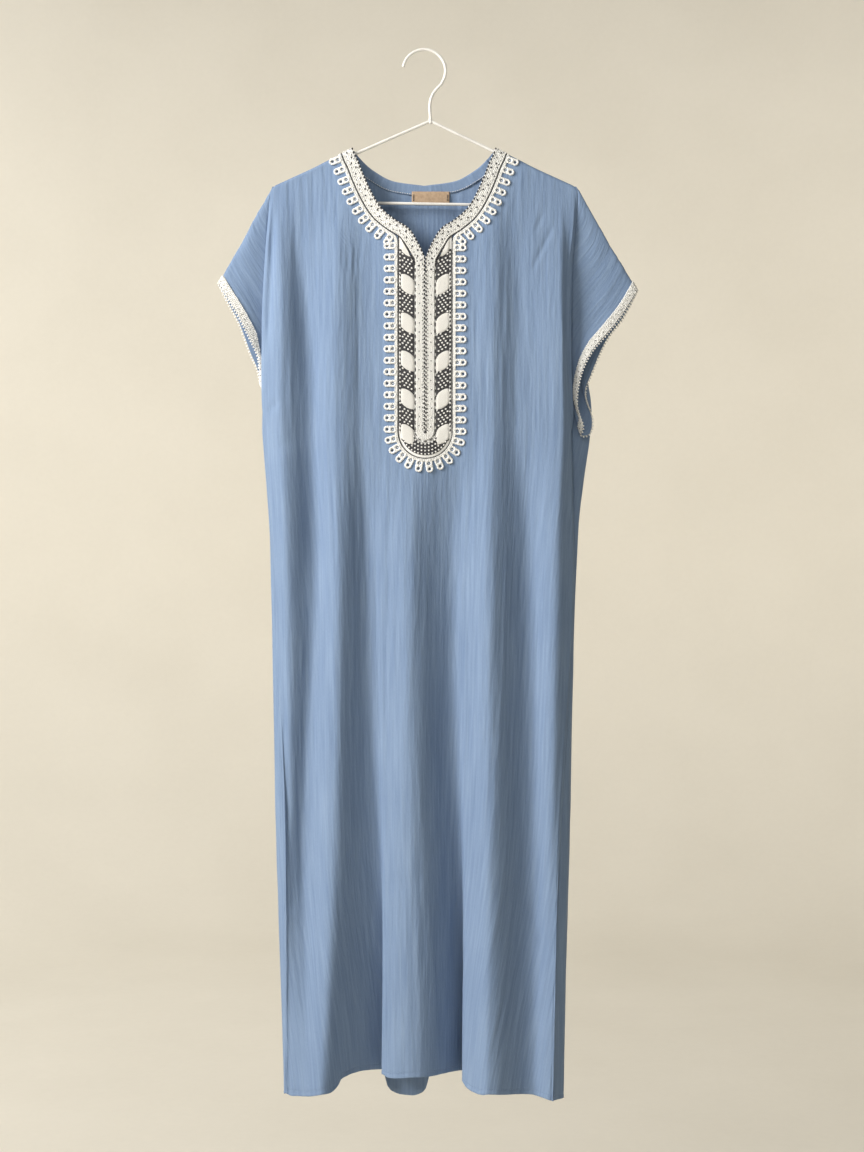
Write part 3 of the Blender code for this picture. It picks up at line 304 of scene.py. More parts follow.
def rounded(points: Array, stretch: int, fractions: Array) -> Array:
    """Read a rounded curve between the second and third of four points.

    Args:
        points: Control points, first axis along the curve.
        stretch: Index of the first of the four points.
        fractions: How far along the middle stretch to read.

    Returns:
        One row of points for each fraction.
    """
    p0, p1, p2, p3 = (points[stretch + k] for k in range(4))
    t = np.asarray(fractions).reshape(-1, *([1] * p0.ndim))
    return (
        p1
        + (p2 - p0) * 0.5 * t
        + (p0 * 2.0 - p1 * 5.0 + p2 * 4.0 - p3) * 0.5 * t**2
        + (p1 * 3.0 - p0 - p2 * 3.0 + p3) * 0.5 * t**3
    )


def unit(vectors: Array) -> Array:
    """Return the vectors at length 1."""
    return vectors / np.maximum(np.linalg.norm(vectors, axis=-1, keepdims=True), 1e-9)


def joined(*values: Array) -> Array:
    """Return values side by side on a last axis, such as x, out and z."""
    return np.stack(np.broadcast_arrays(*values), axis=-1)


@dataclass(frozen=True)
class Noise:
    """Soft random relief over cloth coordinates, in cells of a set width and length."""

    seed: int
    width: float
    length: float
    cells: int = 256

    def at(self, across: Array, along: Array) -> Array:
        """Read the relief.

        Args:
            across: Cloth coordinate across the cells.
            along: Cloth coordinate along the cells.

        Returns:
            Values from -1 to 1.
        """
        table = np.random.default_rng(self.seed).uniform(-1.0, 1.0, (self.cells, self.cells))
        u = np.asarray(across, float) / self.width + 1000.0
        v = np.asarray(along, float) / self.length + 1000.0
        i, j = np.floor(u).astype(int), np.floor(v).astype(int)
        s, t = smooth(u - i), smooth(v - j)
        i0, i1 = i % self.cells, (i + 1) % self.cells
        j0, j1 = j % self.cells, (j + 1) % self.cells
        return lerp(
            lerp(table[i0, j0], table[i1, j0], s), lerp(table[i0, j1], table[i1, j1], s), t
        )


def lines_at(table: Array, z: Array) -> tuple[Array, Array]:
    """Return where each fold line of a table runs at heights below the chest: xs and outs."""
    xs = np.stack([through(STATIONS, row[6::-2], z) for row in table])
    outs = np.stack([through(STATIONS, row[7::-2], z) for row in table])
    return xs, outs


def crest(x: Array) -> Array:
    """Return the height of the shoulder's top at x."""
    return read(SHOULDER_CREST, 1, np.abs(x - SHOULDER_CENTRE_X))


def drape(x: Array, z: Array, chest_out: Array) -> Array:
    """Return how far a panel stands out above the chest, from the hanger to its full folds."""
    depth = np.maximum(0.0, crest(x) - z)
    return lerp(read(DRAPE, 1, depth), chest_out, smooth(depth / DRAPE_DEPTH))


def front_out(x: Array, z: Array) -> Array:
    """Return how far the front's outer face stands towards the viewer."""
    x, z = np.broadcast_arrays(np.asarray(x, float), np.asarray(z, float))
    inner = FRONT_LINES[1:-1]
    xs, outs = lines_at(inner, z.ravel())
    lower = through(xs, outs, x.ravel())
    chest = np.repeat(inner[:, :1], x.size, axis=1)
    chest[0] = read(ARMHOLES[Side.RIGHT], 5, z.ravel())
    chest[-1] = read(ARMHOLES[Side.LEFT], 5, z.ravel())
    upper = drape(x.ravel(), z.ravel(), through(chest, inner[:, 1], x.ravel()))
    return np.where(z.ravel() <= SLIT_END_Z, lower, upper).reshape(x.shape)


def column_x(column: Array, z: Array) -> Array:
    """Return where a column of the front runs at a height below the chest."""
    column, z = np.broadcast_arrays(np.asarray(column, float), np.asarray(z, float))
    index = np.clip(column.astype(int), 0, len(FRONT_LINES) - 2)
    xs = lines_at(FRONT_LINES, z.ravel())[0].reshape(len(FRONT_LINES), *z.shape)
    here = np.take_along_axis(xs, index[None], 0)[0]
    there = np.take_along_axis(xs, index[None] + 1, 0)[0]
    return lerp(here, there, column - index)


def neck_centre(z: Array) -> Array:
    """Return the x about which the neck lies at a height."""
    return lerp(CENTRE_X, SHOULDER_CENTRE_X, smooth((z - NECK_SHIFT_BASE_Z) / NECK_SHIFT_HEIGHT))


def neckline_point(fraction: Array) -> tuple[Array, Array]:
    """Return the half width and height on the slit and neckline, from the slit's end up."""
    fraction = np.asarray(fraction, float)
    lengths = run_along(NECKLINE)
    along = (fraction - SLIT_FRACTION) / (1.0 - SLIT_FRACTION) * lengths[-1]
    half, z = (through(lengths, NECKLINE[:, k], along) for k in (0, 1))
    slit_z = lerp(SLIT_END_Z, NECKLINE[0, 1], fraction / SLIT_FRACTION)
    below = fraction <= SLIT_FRACTION
    return np.where(below, SLIT_HALF, half), np.where(below, slit_z, z)


def back_top(x: Array) -> Array:
    """Return the height of the back's upper edge at x: the shoulder or the neckline."""
    half = np.abs(x - SHOULDER_CENTRE_X)
    return np.where(half >= NECK_HALF, crest(x), read(BACK_NECKLINE, 1, half))


@dataclass(frozen=True)
class Crease:
    """A pressed-in line across the cloth, from one place on the panel to another."""

    x: float
    z: float
    end_x: float
    end_z: float
    depth: float
    width: float

    def at(self, x: Array, z: Array) -> Array:
        """Return how deep the crease is at places on the panel."""
        run_x, run_z = self.end_x - self.x, self.end_z - self.z
        length = float(np.hypot(run_x, run_z))
        along = ((x - self.x) * run_x + (z - self.z) * run_z) / length
        aside = ((x - self.x) * run_z - (z - self.z) * run_x) / length
        ends = smooth(along / (0.3 * length)) * smooth((length - along) / (0.3 * length))
        return self.depth * bump(aside, self.width) * ends


@dataclass(frozen=True)
class Crinkle:
    """The cloth's own relief: broad waves, crinkles along the warp and finer ones between them."""

    seed: int
    wave: float = 0.9
    crinkle: float = 0.42
    fine: float = 0.22

    def at(self, across: Array, along: Array) -> Array:
        """Return the height of the relief at cloth coordinates."""
        drift = 5.0 * Noise(self.seed, 60.0, 260.0).at(across, along)
        waves = Noise(self.seed + 1, 34.0, 330.0).at(across, along)
        crinkles = Noise(self.seed + 2, 6.4, 95.0).at(across + drift, along)
        fine = Noise(self.seed + 3, 3.7, 42.0).at(across + drift, along)
        return self.wave * waves + self.crinkle * crinkles + self.fine * fine


def surface_normals(points: Array) -> Array:
    """Return the direction square to a grid of points, out of the face that the grid shows."""
    across = np.gradient(points, axis=1)
    up = np.gradient(points, axis=0)
    return unit(np.cross(across, up))


def to_place(x: Array, out: Array, z: Array) -> Array:
    """Return points as x, y and z in millimetres."""
    return joined(x, -np.asarray(out), z)


@dataclass
class ClothGrid:
    """A grid of faces bent to its points, with cloth coordinates as its UV map.

    Points are in millimetres as (rows, columns, 3), cloth coordinates as (rows, columns, 2).
    """

    points: Array
    cloth: Array
    bm: bmesh.types.BMesh = field(init=False)
    places: dict[bmesh.types.BMVert, tuple[int, int]] = field(init=False)

    def __post_init__(self) -> None:
        """Make the grid and bend it."""
        rows, columns = self.points.shape[:2]
        self.bm = bmesh.new()
        bmesh.ops.create_grid(self.bm, x_segments=columns - 1, y_segments=rows - 1, size=0.5)
        uv = self.bm.loops.layers.uv.new("cloth")
        self.places = {}
        for vert in self.bm.verts:
            row = round((vert.co.y + 0.5) * (rows - 1))
            column = round((vert.co.x + 0.5) * (columns - 1))
            self.places[vert] = (row, column)
            vert.co = self.points[row, column] * MM
        for face in self.bm.faces:
            for loop in face.loops:
                loop[uv].uv = self.cloth[self.places[loop.vert]] * MM

    def cut_after(self, column: int, joined_rows: int) -> None:
        """Take out the strip after a column, and join its two sides again on the first rows."""
        strip = [
            face for face in self.bm.faces
            if min(self.places[vert][1] for vert in face.verts) == column
        ]
        bmesh.ops.delete(self.bm, geom=strip, context="FACES_ONLY")
        sides = [
            vert for vert, (row, at) in self.places.items()
            if row < joined_rows and at in (column, column + 1)
        ]
        bmesh.ops.remove_doubles(self.bm, verts=sides, dist=2e-5)

    def close_round(self) -> None:
        """Join the last column to the first, which turns the grid into a tube."""
        last = self.points.shape[1] - 1
        ends = [vert for vert, (_, column) in self.places.items() if column in (0, last)]
        bmesh.ops.remove_doubles(self.bm, verts=ends, dist=1e-6)


class Graph:
    """A node tree that is filled one node at a time."""

    def __init__(self, tree: bpy.types.NodeTree) -> None:
        """Start on a node tree."""
        self.tree = tree

    def add(self, kind: str, inputs: dict[str | int, object], **settings: object) -> bpy.types.Node:
        """Add a node.

        Args:
            kind: The node's type.
            inputs: A value or another node's output for each input, by name or number.
            **settings: The node's own settings.

        Returns:
            The new node.
        """
        node = self.tree.nodes.new(kind)
        for key, value in settings.items():
            setattr(node, key, value)
        for key, value in inputs.items():
            if isinstance(value, Socket):
                self.tree.links.new(value, node.inputs[key])
            else:
                node.inputs[key].default_value = value
        return node

    def scaled(self, place: Socket, by: Colour) -> Socket:
        """Scale a vector along each axis."""
        return self.add("ShaderNodeVectorMath", {0: place, 1: by}, operation="MULTIPLY").outputs[0]

    def noise(self, place: Socket, cells: Colour, detail: float = 2.0) -> Socket:
        """Add noise, with how many of its cells fit in a millimetre along each axis."""
        where = self.scaled(place, cells)
        return self.add("ShaderNodeTexNoise", {"Vector": where, "Scale": 1.0, "Detail": detail}).outputs[0]

    def bands(self, place: Socket, pitch: float, direction: str, wander: float = 0.6) -> Socket:
        """Add soft parallel bands at a pitch in millimetres."""
        inputs = {"Vector": place, "Scale": np.pi / 10.0 / pitch, "Distortion": wander, "Detail Scale": 1.0}
        return self.add("ShaderNodeTexWave", inputs, bands_direction=direction).outputs[1]

    def blend(self, *parts: tuple[Socket, float]) -> Socket:
        """Add up values, each with its weight."""
        total: Socket | float = 0.0
        for value, weight in parts:
            inputs = {0: value, 1: weight, 2: total}
            total = self.add("ShaderNodeMath", inputs, operation="MULTIPLY_ADD").outputs[0]
        return total


class Pattern(Enum):
    """The fine pattern of a finish, whose node group gives its tone and its height.

    Each layer is noise by its cells and detail, or bands by their pitch, direction and wander, then
    its weight in the tone and in the height.
    """

    # The streak layers that raise the crinkles also make them paler, so the crinkles' troughs are painted
    # darker: painted shade, on top of the yarn's own uneven tone.
    CREPE = (
        (Graph.noise, ((0.21, 0.034, 1.0), 3.0), 0.0, 0.6),
        (Graph.noise, ((0.30, 0.010, 1.0), 3.0), 0.55, 0.3),
        (Graph.noise, ((1.15, 0.30, 1.0),), 0.2, 0.1), (Graph.noise, ((0.012, 0.006, 1.0),), 0.25, 0.0),
    )
    THREAD = (
        (Graph.bands, (0.55, "DIAGONAL"), 0.3, 0.6), (Graph.noise, ((1.6, 1.6, 1.6),), 0.7, 0.4),
    )
    SATIN = (
        (Graph.bands, (0.62, "X", 1.6), 0.45, 0.75), (Graph.noise, ((0.9, 0.9, 0.9),), 0.55, 0.25),
    )
    TAPE = (
        (Graph.bands, (0.7, "Y"), 0.25, 0.6), (Graph.bands, (0.5, "X"), 0.2, 0.4),
        (Graph.noise, ((0.25, 0.25, 0.25),), 0.55, 0.0),
    )
    COATING = (
        (Graph.noise, ((0.8, 0.8, 0.8),), 0.3, 1.0), (Graph.noise, ((0.05, 0.05, 0.05),), 0.7, 0.0),
    )
    PLASTER = (
        (Graph.noise, ((0.0016, 0.0016, 0.0016), 4.0), 0.8, 0.5),
        (Graph.noise, ((0.05, 0.05, 0.05),), 0.2, 0.5),
    )

    def parts(self, graph: Graph, place: Socket) -> tuple[Socket, ...]:
        """Add the pattern's nodes and return its tone and its height, about 0 to 1."""
        layers = [(make(graph, place, *shape), tone, height) for make, shape, tone, height in self.value]
        return tuple(graph.blend(*((layer[0], layer[k]) for layer in layers if layer[k])) for k in (1, 2))

    def group(self) -> bpy.types.NodeTree:
        """Return the pattern's node group, made once."""
        name = "pattern_" + self.name.lower()
        if name in bpy.data.node_groups:
            return bpy.data.node_groups[name]
        tree = bpy.data.node_groups.new(name, "ShaderNodeTree")
        tree.interface.new_socket(name="Place", in_out="INPUT", socket_type="NodeSocketVector")
        for output in ("Tone", "Height"):
            tree.interface.new_socket(name=output, in_out="OUTPUT", socket_type="NodeSocketFloat")
        graph = Graph(tree)
        place = graph.add("NodeGroupInput", {}).outputs["Place"]
        tone, height = self.parts(graph, place)
        graph.add("NodeGroupOutput", {"Tone": tone, "Height": height})
        return tree


@dataclass(frozen=True)
class Finish:
    """One material: its two colours, its roughness, its relief and its fine pattern.

    An empty uv stands for the object's own coordinates.
    """

    name: str
    pattern: Pattern
    deep: Colour
    pale: Colour
    uv: str = ""
    tones: tuple[float, float] = (0.3, 0.7)
    rough: tuple[float, float] = (0.92, 0.8)
    relief: float = 0.3
    sheen: float = 0.0
    coat: float = 0.0
    specular: float = 0.5

    def build(self) -> Material:
        """Build the material."""
        material = bpy.data.materials.new(self.name)
        material.use_nodes = True
        graph = Graph(material.node_tree)
        shader = material.node_tree.nodes["Principled BSDF"]
        if self.uv:
            place = graph.add("ShaderNodeUVMap", {}, uv_map=self.uv).outputs[0]
        else:
            place = graph.add("ShaderNodeTexCoord", {}).outputs["Object"]
        in_mm = graph.scaled(place, (1.0 / MM,) * 3)
        pattern = graph.add("ShaderNodeGroup", {}, node_tree=self.pattern.group())
        material.node_tree.links.new(in_mm, pattern.inputs["Place"])
        low, high = self.tones
        tone = graph.add(
            "ShaderNodeMapRange", {"Value": pattern.outputs["Tone"], "From Min": low, "From Max": high}
        ).outputs[0]
        rough = graph.add(
            "ShaderNodeMapRange", {"Value": tone, "To Min": self.rough[0], "To Max": self.rough[1]}
        ).outputs[0]
        colour = graph.add(
            "ShaderNodeMix", {0: tone, 6: (*self.deep, 1.0), 7: (*self.pale, 1.0)}, data_type="RGBA"
        ).outputs[2]
        bump_node = graph.add(
            "ShaderNodeBump", {"Height": pattern.outputs["Height"], "Distance": self.relief * MM}
        )
        for name, value in (("Base Color", colour), ("Roughness", rough), ("Normal", bump_node.outputs[0])):
            material.node_tree.links.new(value, shader.inputs[name])
        for name, value in (
            ("Sheen Weight", self.sheen), ("Sheen Roughness", 0.45), ("Coat Weight", self.coat),
            ("Coat Roughness", 0.3), ("Specular IOR Level", self.specular),
        ):
            shader.inputs[name].default_value = value
        return material


CREPE = Finish(
    "crinkled_crepe", Pattern.CREPE, (0.131, 0.201, 0.342), (0.255, 0.348, 0.500), "cloth",
    (0.22, 0.78), (0.93, 0.82), 1.3, sheen=0.04, specular=0.25,
)
WHITE_THREAD = Finish(
    "white_thread", Pattern.THREAD, (0.84, 0.84, 0.82), (0.985, 0.985, 0.965), "thread",
    relief=0.25, sheen=0.05, specular=0.3,
)
BLUE_THREAD = Finish(
    "blue_thread", Pattern.THREAD, (0.16, 0.24, 0.40), (0.30, 0.40, 0.57), "thread", relief=0.1,
    specular=0.3,
)
DARK_THREAD = Finish(
    "charcoal_thread", Pattern.THREAD, (0.012, 0.012, 0.014), (0.075, 0.075, 0.082), "thread",
    rough=(0.7, 0.55), relief=0.25, specular=0.4,
)
SATIN_THREAD = Finish(
    "satin_stitch", Pattern.SATIN, (0.74, 0.73, 0.70), (0.92, 0.915, 0.885), "thread",
    rough=(0.6, 0.45), relief=0.2, sheen=0.05,
)
GROUND_THREAD = Finish(
    "charcoal_ground", Pattern.THREAD, (0.02, 0.02, 0.023), (0.13, 0.13, 0.14), "thread",
    relief=0.3, specular=0.3,
)
LABEL_TAPE = Finish(
    "woven_label", Pattern.TAPE, (0.38, 0.265, 0.175), (0.58, 0.43, 0.30), "thread", relief=0.12,
)
COATED_WIRE = Finish(
    "coated_wire", Pattern.COATING, (0.74, 0.725, 0.69), (0.90, 0.89, 0.86), "", (0.35, 0.65),
    (0.42, 0.3), 0.03, coat=0.15,
)
PLASTER = Finish(
    "pale_plaster", Pattern.PLASTER, (0.79, 0.75, 0.66), (0.84, 0.80, 0.71), relief=0.2,
)


def show(name: str, mesh: bpy.types.Mesh) -> Piece:
    """Put a mesh in the scene as a smooth object that rides on the body."""
    mesh.shade_smooth()
    obj = bpy.data.objects.new(name, mesh)
    bpy.context.collection.objects.link(obj)
    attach(obj, BODY)
    return obj


def add_wall(obj: Piece, thickness: float) -> None:
    """Give a sheet its thickness, behind the face that it shows."""
    wall = obj.modifiers.new("wall", "SOLIDIFY")
    wall.thickness = thickness * MM
    wall.offset = -1.0
    wall.use_rim = True
    wall.use_even_offset = False


def make_object(name: str, bm: bmesh.types.BMesh, cloth: Material, wall: float) -> Piece:
    """Turn a bmesh into a sheet of cloth.

    Args:
        name: The piece's name.
        bm: The finished bmesh, which is freed.
        cloth: Its material.
        wall: Its thickness, behind the face that it shows.

    Returns:
        The new object.
    """
    mesh = bpy.data.meshes.new(name)
    bm.to_mesh(mesh)
    bm.free()
    mesh.materials.append(cloth)
    obj = show(name, mesh)
    add_wall(obj, wall)
    return obj


def even_columns(first: float, last: float, z: float, count: int) -> Array:
    """Return column numbers of the front that lie evenly along the cloth at a height."""
    dense = np.linspace(first, last, FINE_STEPS)
    x = column_x(dense, z)
    run = run_along(joined(x, front_out(x, z)))
    return np.interp(np.linspace(0.0, run[-1], count), run, dense)


def rows_below(count: int) -> Array:
    """Return how far down from the chest a panel's rows lie, from the hem up, finer at the hem."""
    near_hem = 1.0 - np.array([0.0, 1.0, 2.2, 3.6, 5.2, 6.8, 8.4, 10.5, 14.0, 19.0]) / HEM_HEIGHT
    return np.concatenate((near_hem, np.linspace(near_hem[-1], 0.0, count)[1:]))


def rows_above(count: int) -> Array:
    """Return how far up from the chest a panel's rows lie, finer at the top."""
    main = np.linspace(0.0, 0.955, count)[1:]
    return np.concatenate((main, [0.967, 0.977, 0.985, 0.99, 0.994, 0.9968, 0.9985, 0.9994, 1.0]))


def cloth_places(points: Array, middle: int) -> Array:
    """Return a panel's cloth coordinates: across from its middle column, and its height."""
    steps = np.hypot(*np.moveaxis(np.diff(points[..., :2], axis=1), -1, 0))
    run = np.concatenate((np.zeros((len(points), 1)), np.cumsum(steps, axis=1)), axis=1)
    across = run - run[:, middle:middle + 1] + points[:, middle:middle + 1, 0]
    return joined(across, points[..., 2])


@dataclass(frozen=True)
class Panel:
    """What the front and back panels share: their cloth, their hem and the thread along it."""

    cloth: Material
    grain: Form
    thread: Material
    wall: float = 1.1
    # The hem's line of stitches: its height, and how deep and wide it draws the cloth in.
    hem_stitch_z: float = 6.8
    hem_dip: tuple[float, float, float] = (6.4, 0.45, 1.5)

    def sew_hem(self, name: str, points: Array) -> None:
        """Lay the line of stitches above the hem."""
        above = np.mean(points[:, :, 2] - points[0, :, 2], axis=1)
        row = int(np.argmin(np.abs(above - self.hem_stitch_z)))
        stitches = Stitching()
        stitches.sew(self.grain, points[row], surface_normals(points)[row], 3.3, 0.1, (1.3, 0.42, 0.4))
        stitches.build(name, (self.thread,))

    def hem_line(self, z: Array) -> Array:
        """Return 1 on the line where the hem's stitches draw the cloth in, and 0 away from it."""
        return bump(z - z[:1] - self.hem_dip[0], self.hem_dip[2])


@dataclass(frozen=True)
class FrontPanel(Panel):
    """The front panel, with its neckline, its open slit and its folds."""

    half_columns: int = 128
    turn_steps: int = 5
    lower_rows: int = 100
    upper_rows: int = 54
    measure_z: float = -900.0
    # How far the cloth under the embroidery reaches from the neckline and from the slit.
    neck_reach: float = 36.0
    placket_reach: float = 54.0
    fade: float = 16.0
    # How far the two deep folds are pushed under their neighbours at the hem.
    tuck_top_z: float = -860.0
    tucks: tuple[tuple[float, float, float], ...] = (
        (4.95, 27.0, 0.62), (8.0, 22.0, 0.55), (4.45, -8.0, 0.4), (7.4, 13.0, 0.45),
    )
    relief: Crinkle = Crinkle(seed=11)
    # Each crease: where it starts and ends as x and z, its depth and its width.
    creases: tuple[tuple[float, ...], ...] = (
        (-222, -509, -202, -491, 2.4, 3.0), (-224, -564, -171, -542, 2.2, 3.0),
        (-213, -212, -222, -440, 4.2, 5.0), (-200, -1196, -176, -1186, 1.4, 4.0),
        (-40, -844, 8, -842, 0.8, 5.0), (-62, -1160, -2, -1156, 1.0, 6.0),
        (182, -238, 141, -322, 1.2, 3.2), (168, -222, 148, -262, 0.9, 3.0),
        (136, -1170, 166, -1262, 1.6, 7.0), (84, -966, 93, -952, 1.2, 5.0),
        (-187, -205, -157, -500, 5.0, 15.0), (-160, -390, -157, -800, 4.4, 14.0),
        (197, -212, 202, -520, 3.4, 8.0), (-91, -252, -94, -318, 1.6, 2.0),
        (-98, -249, -101, -326, 1.7, 2.0), (-105, -247, -109, -322, 1.6, 2.0),
        (-112, -244, -117, -312, 1.4, 2.0),
    )

    def tuck(self, columns: Array, z: Array) -> Array:
        """Return how far sideways the deep folds are pushed under the ones beside them."""
        pushed = np.zeros_like(z)
        for line, reach, width in self.tucks:
            pushed += reach * bump(columns - line, width)
        return pushed * smooth((self.tuck_top_z - z) / 520.0)

    def edge_strip(self, half: Array, side: Side) -> Array:
        """Return the rounded strip from a side's seam round its turn to the edge of the half.

        Args:
            half: The half of the panel beside it, as x, out and z.
            side: Its side.

        Returns:
            The strip's rows, with columns in the half's order.
        """
        right = side is Side.RIGHT
        edge = half if right else half[:, ::-1]
        z = lerp(SLIT_END_Z, FRONT_HEM[0 if right else -1, 1], rows_below(self.lower_rows))
        lines = (FRONT_LINES[:1], BACK_LINES[1:2]) if right else (FRONT_LINES[-1:], BACK_LINES[-2:-1])
        seam, back = (joined(*np.concatenate(lines_at(line, z)), z) for line in lines)
        away = back - seam
        turn = seam - away / np.hypot(away[:, 0], away[:, 1])[:, None] * TURN_LENGTH
        z = lerp(SLIT_END_Z, SHOULDER_TOP_Z, rows_above(self.upper_rows))
        high_seam, high_turn = (
            joined(read(ARMHOLES[side], k, z), read(ARMHOLES[side], k + 1, z), z) for k in (1, 3)
        )
        knots = np.stack((
            np.concatenate((back, high_seam * 2.0 - high_turn)), np.concatenate((seam, high_seam)),
            np.concatenate((turn, high_turn)), edge[:, 0], edge[:, 3],
        ))
        short = rounded(knots, 0, np.linspace(0.0, 1.0, 3)[:-1])
        long = rounded(knots, 1, np.linspace(0.0, 1.0, self.turn_steps + 1)[:-1])
        strip = np.concatenate((short, long)).transpose(1, 0, 2)
        return strip if right else strip[:, ::-1]

    def points(self) -> tuple[Array, Array, Array]:
        """Work out the panel.

        Returns:
            Its points from the wearer's right to the left, its column numbers, and the number of
            rows under the slit's end.
        """
        lower = rows_below(self.lower_rows)
        halves, numbers = [], []
        for side, ends in zip(Side, ((1.0, SLIT_LINE), (SLIT_LINE, LAST_LINE - 1.0))):
            columns = even_columns(*ends, self.measure_z, self.half_columns)
            z = lerp(SLIT_END_Z, read(FRONT_HEM, 1, columns), lower[:, None])
            x = column_x(columns, z)
            low = joined(x + self.tuck(columns, z), front_out(x, z), z)
            halves.append(np.concatenate((low, self.upper_half(columns, side))))
            numbers.append(columns)
        strips = [self.edge_strip(half, side) for half, side in zip(halves, Side)]
        rows = np.concatenate((strips[0], *halves, strips[1]), axis=1)
        columns = np.concatenate((
            np.linspace(0.0, 1.0, strips[0].shape[1], endpoint=False), *numbers,
            np.linspace(LAST_LINE, LAST_LINE - 1.0, strips[1].shape[1], endpoint=False)[::-1],
        ))
        return to_place(*np.moveaxis(rows, -1, 0)), columns, len(lower)

    def upper_half(self, columns: Array, side: Side) -> Array:
        """Return one half of the panel above the slit's end, as x, out and z."""
        fractions = rows_above(self.upper_rows)
        outer_z = lerp(SLIT_END_Z, SHOULDER_TOP_Z, fractions)[:, None]
        half, inner_z = (value[:, None] for value in neckline_point(fractions))
        inner_x = neck_centre(inner_z) + side.value * half
        edge_x = read(ARMHOLES[side], 5, outer_z)
        first = 1.0 if side is Side.RIGHT else LAST_LINE - 1.0
        start, end = (column_x(at, SLIT_END_Z) for at in (first, SLIT_LINE))
        share = ((column_x(columns, SLIT_END_Z) - start) / (end - start))[None]
        x = lerp(edge_x, inner_x, share)
        straight = lerp(outer_z, inner_z, share)
        top_x = lerp(edge_x[-1:], inner_x[-1:], share)
        top_gap = crest(top_x) - lerp(outer_z[-1:], inner_z[-1:], share)
        z = np.minimum(straight + top_gap * fractions[:, None] ** 6, crest(x))
        return joined(x, front_out(x, z), z)

    def embroidered(self, x: Array, z: Array) -> Array:
        """Return 1 under the embroidery and 0 away from it."""
        half, edge_z = neckline_point(np.linspace(SLIT_FRACTION, 1.0, 60))
        nearest = np.full(x.shape, 1e9)
        for side in Side:
            for px, pz in zip(neck_centre(edge_z) + side.value * half, edge_z):
                nearest = np.minimum(nearest, np.hypot(x - px, z - pz))
        neck = 1.0 - smooth((nearest - self.neck_reach) / self.fade)
        from_slit = np.hypot(np.abs(x - CENTRE_X), np.maximum(0.0, SLIT_END_Z - z))
        placket = 1.0 - smooth((from_slit - self.placket_reach) / self.fade)
        return np.maximum(neck, np.where(z < -240.0, placket, 0.0))

    def build(self) -> Piece:
        """Build the panel and the stitches along its hem."""
        points, columns, below = self.points()
        middle = points.shape[1] // 2
        cloth_at = cloth_places(points, middle)
        x, z = points[..., 0], points[..., 2]
        across, up = cloth_at[..., 0], cloth_at[..., 1]
        free = 1.0 - self.embroidered(x, z)
        calm = smooth((crest(x) - z) / 14.0)
        height = self.relief.at(across, up) * lerp(0.12, 1.0, free) * calm
        for crease in self.creases:
            height -= Crease(*crease).at(x, z) * free
        stitched = self.hem_line(z)
        height -= self.hem_dip[1] * stitched + 0.25 * stitched * Noise(71, 5.0, 400.0).at(across, 0 * z)
        beside = np.minimum(columns, LAST_LINE - columns)
        seam = bump((beside - 0.62) / 0.16, 1.0) * smooth((SLIT_END_Z - z) / 60.0)
        height -= seam * (0.5 + 0.7 * Noise(72, 400.0, 7.0).at(0 * z, z))
        points = points + surface_normals(points) * height[..., None]
        points[:below, middle] = points[:below, middle - 1]
        self.sew_hem("stitches_hem_front", points)
        grid = ClothGrid(points, cloth_at)
        grid.cut_after(middle - 1, below)
        return make_object("cloth_front", grid.bm, self.cloth, self.wall)


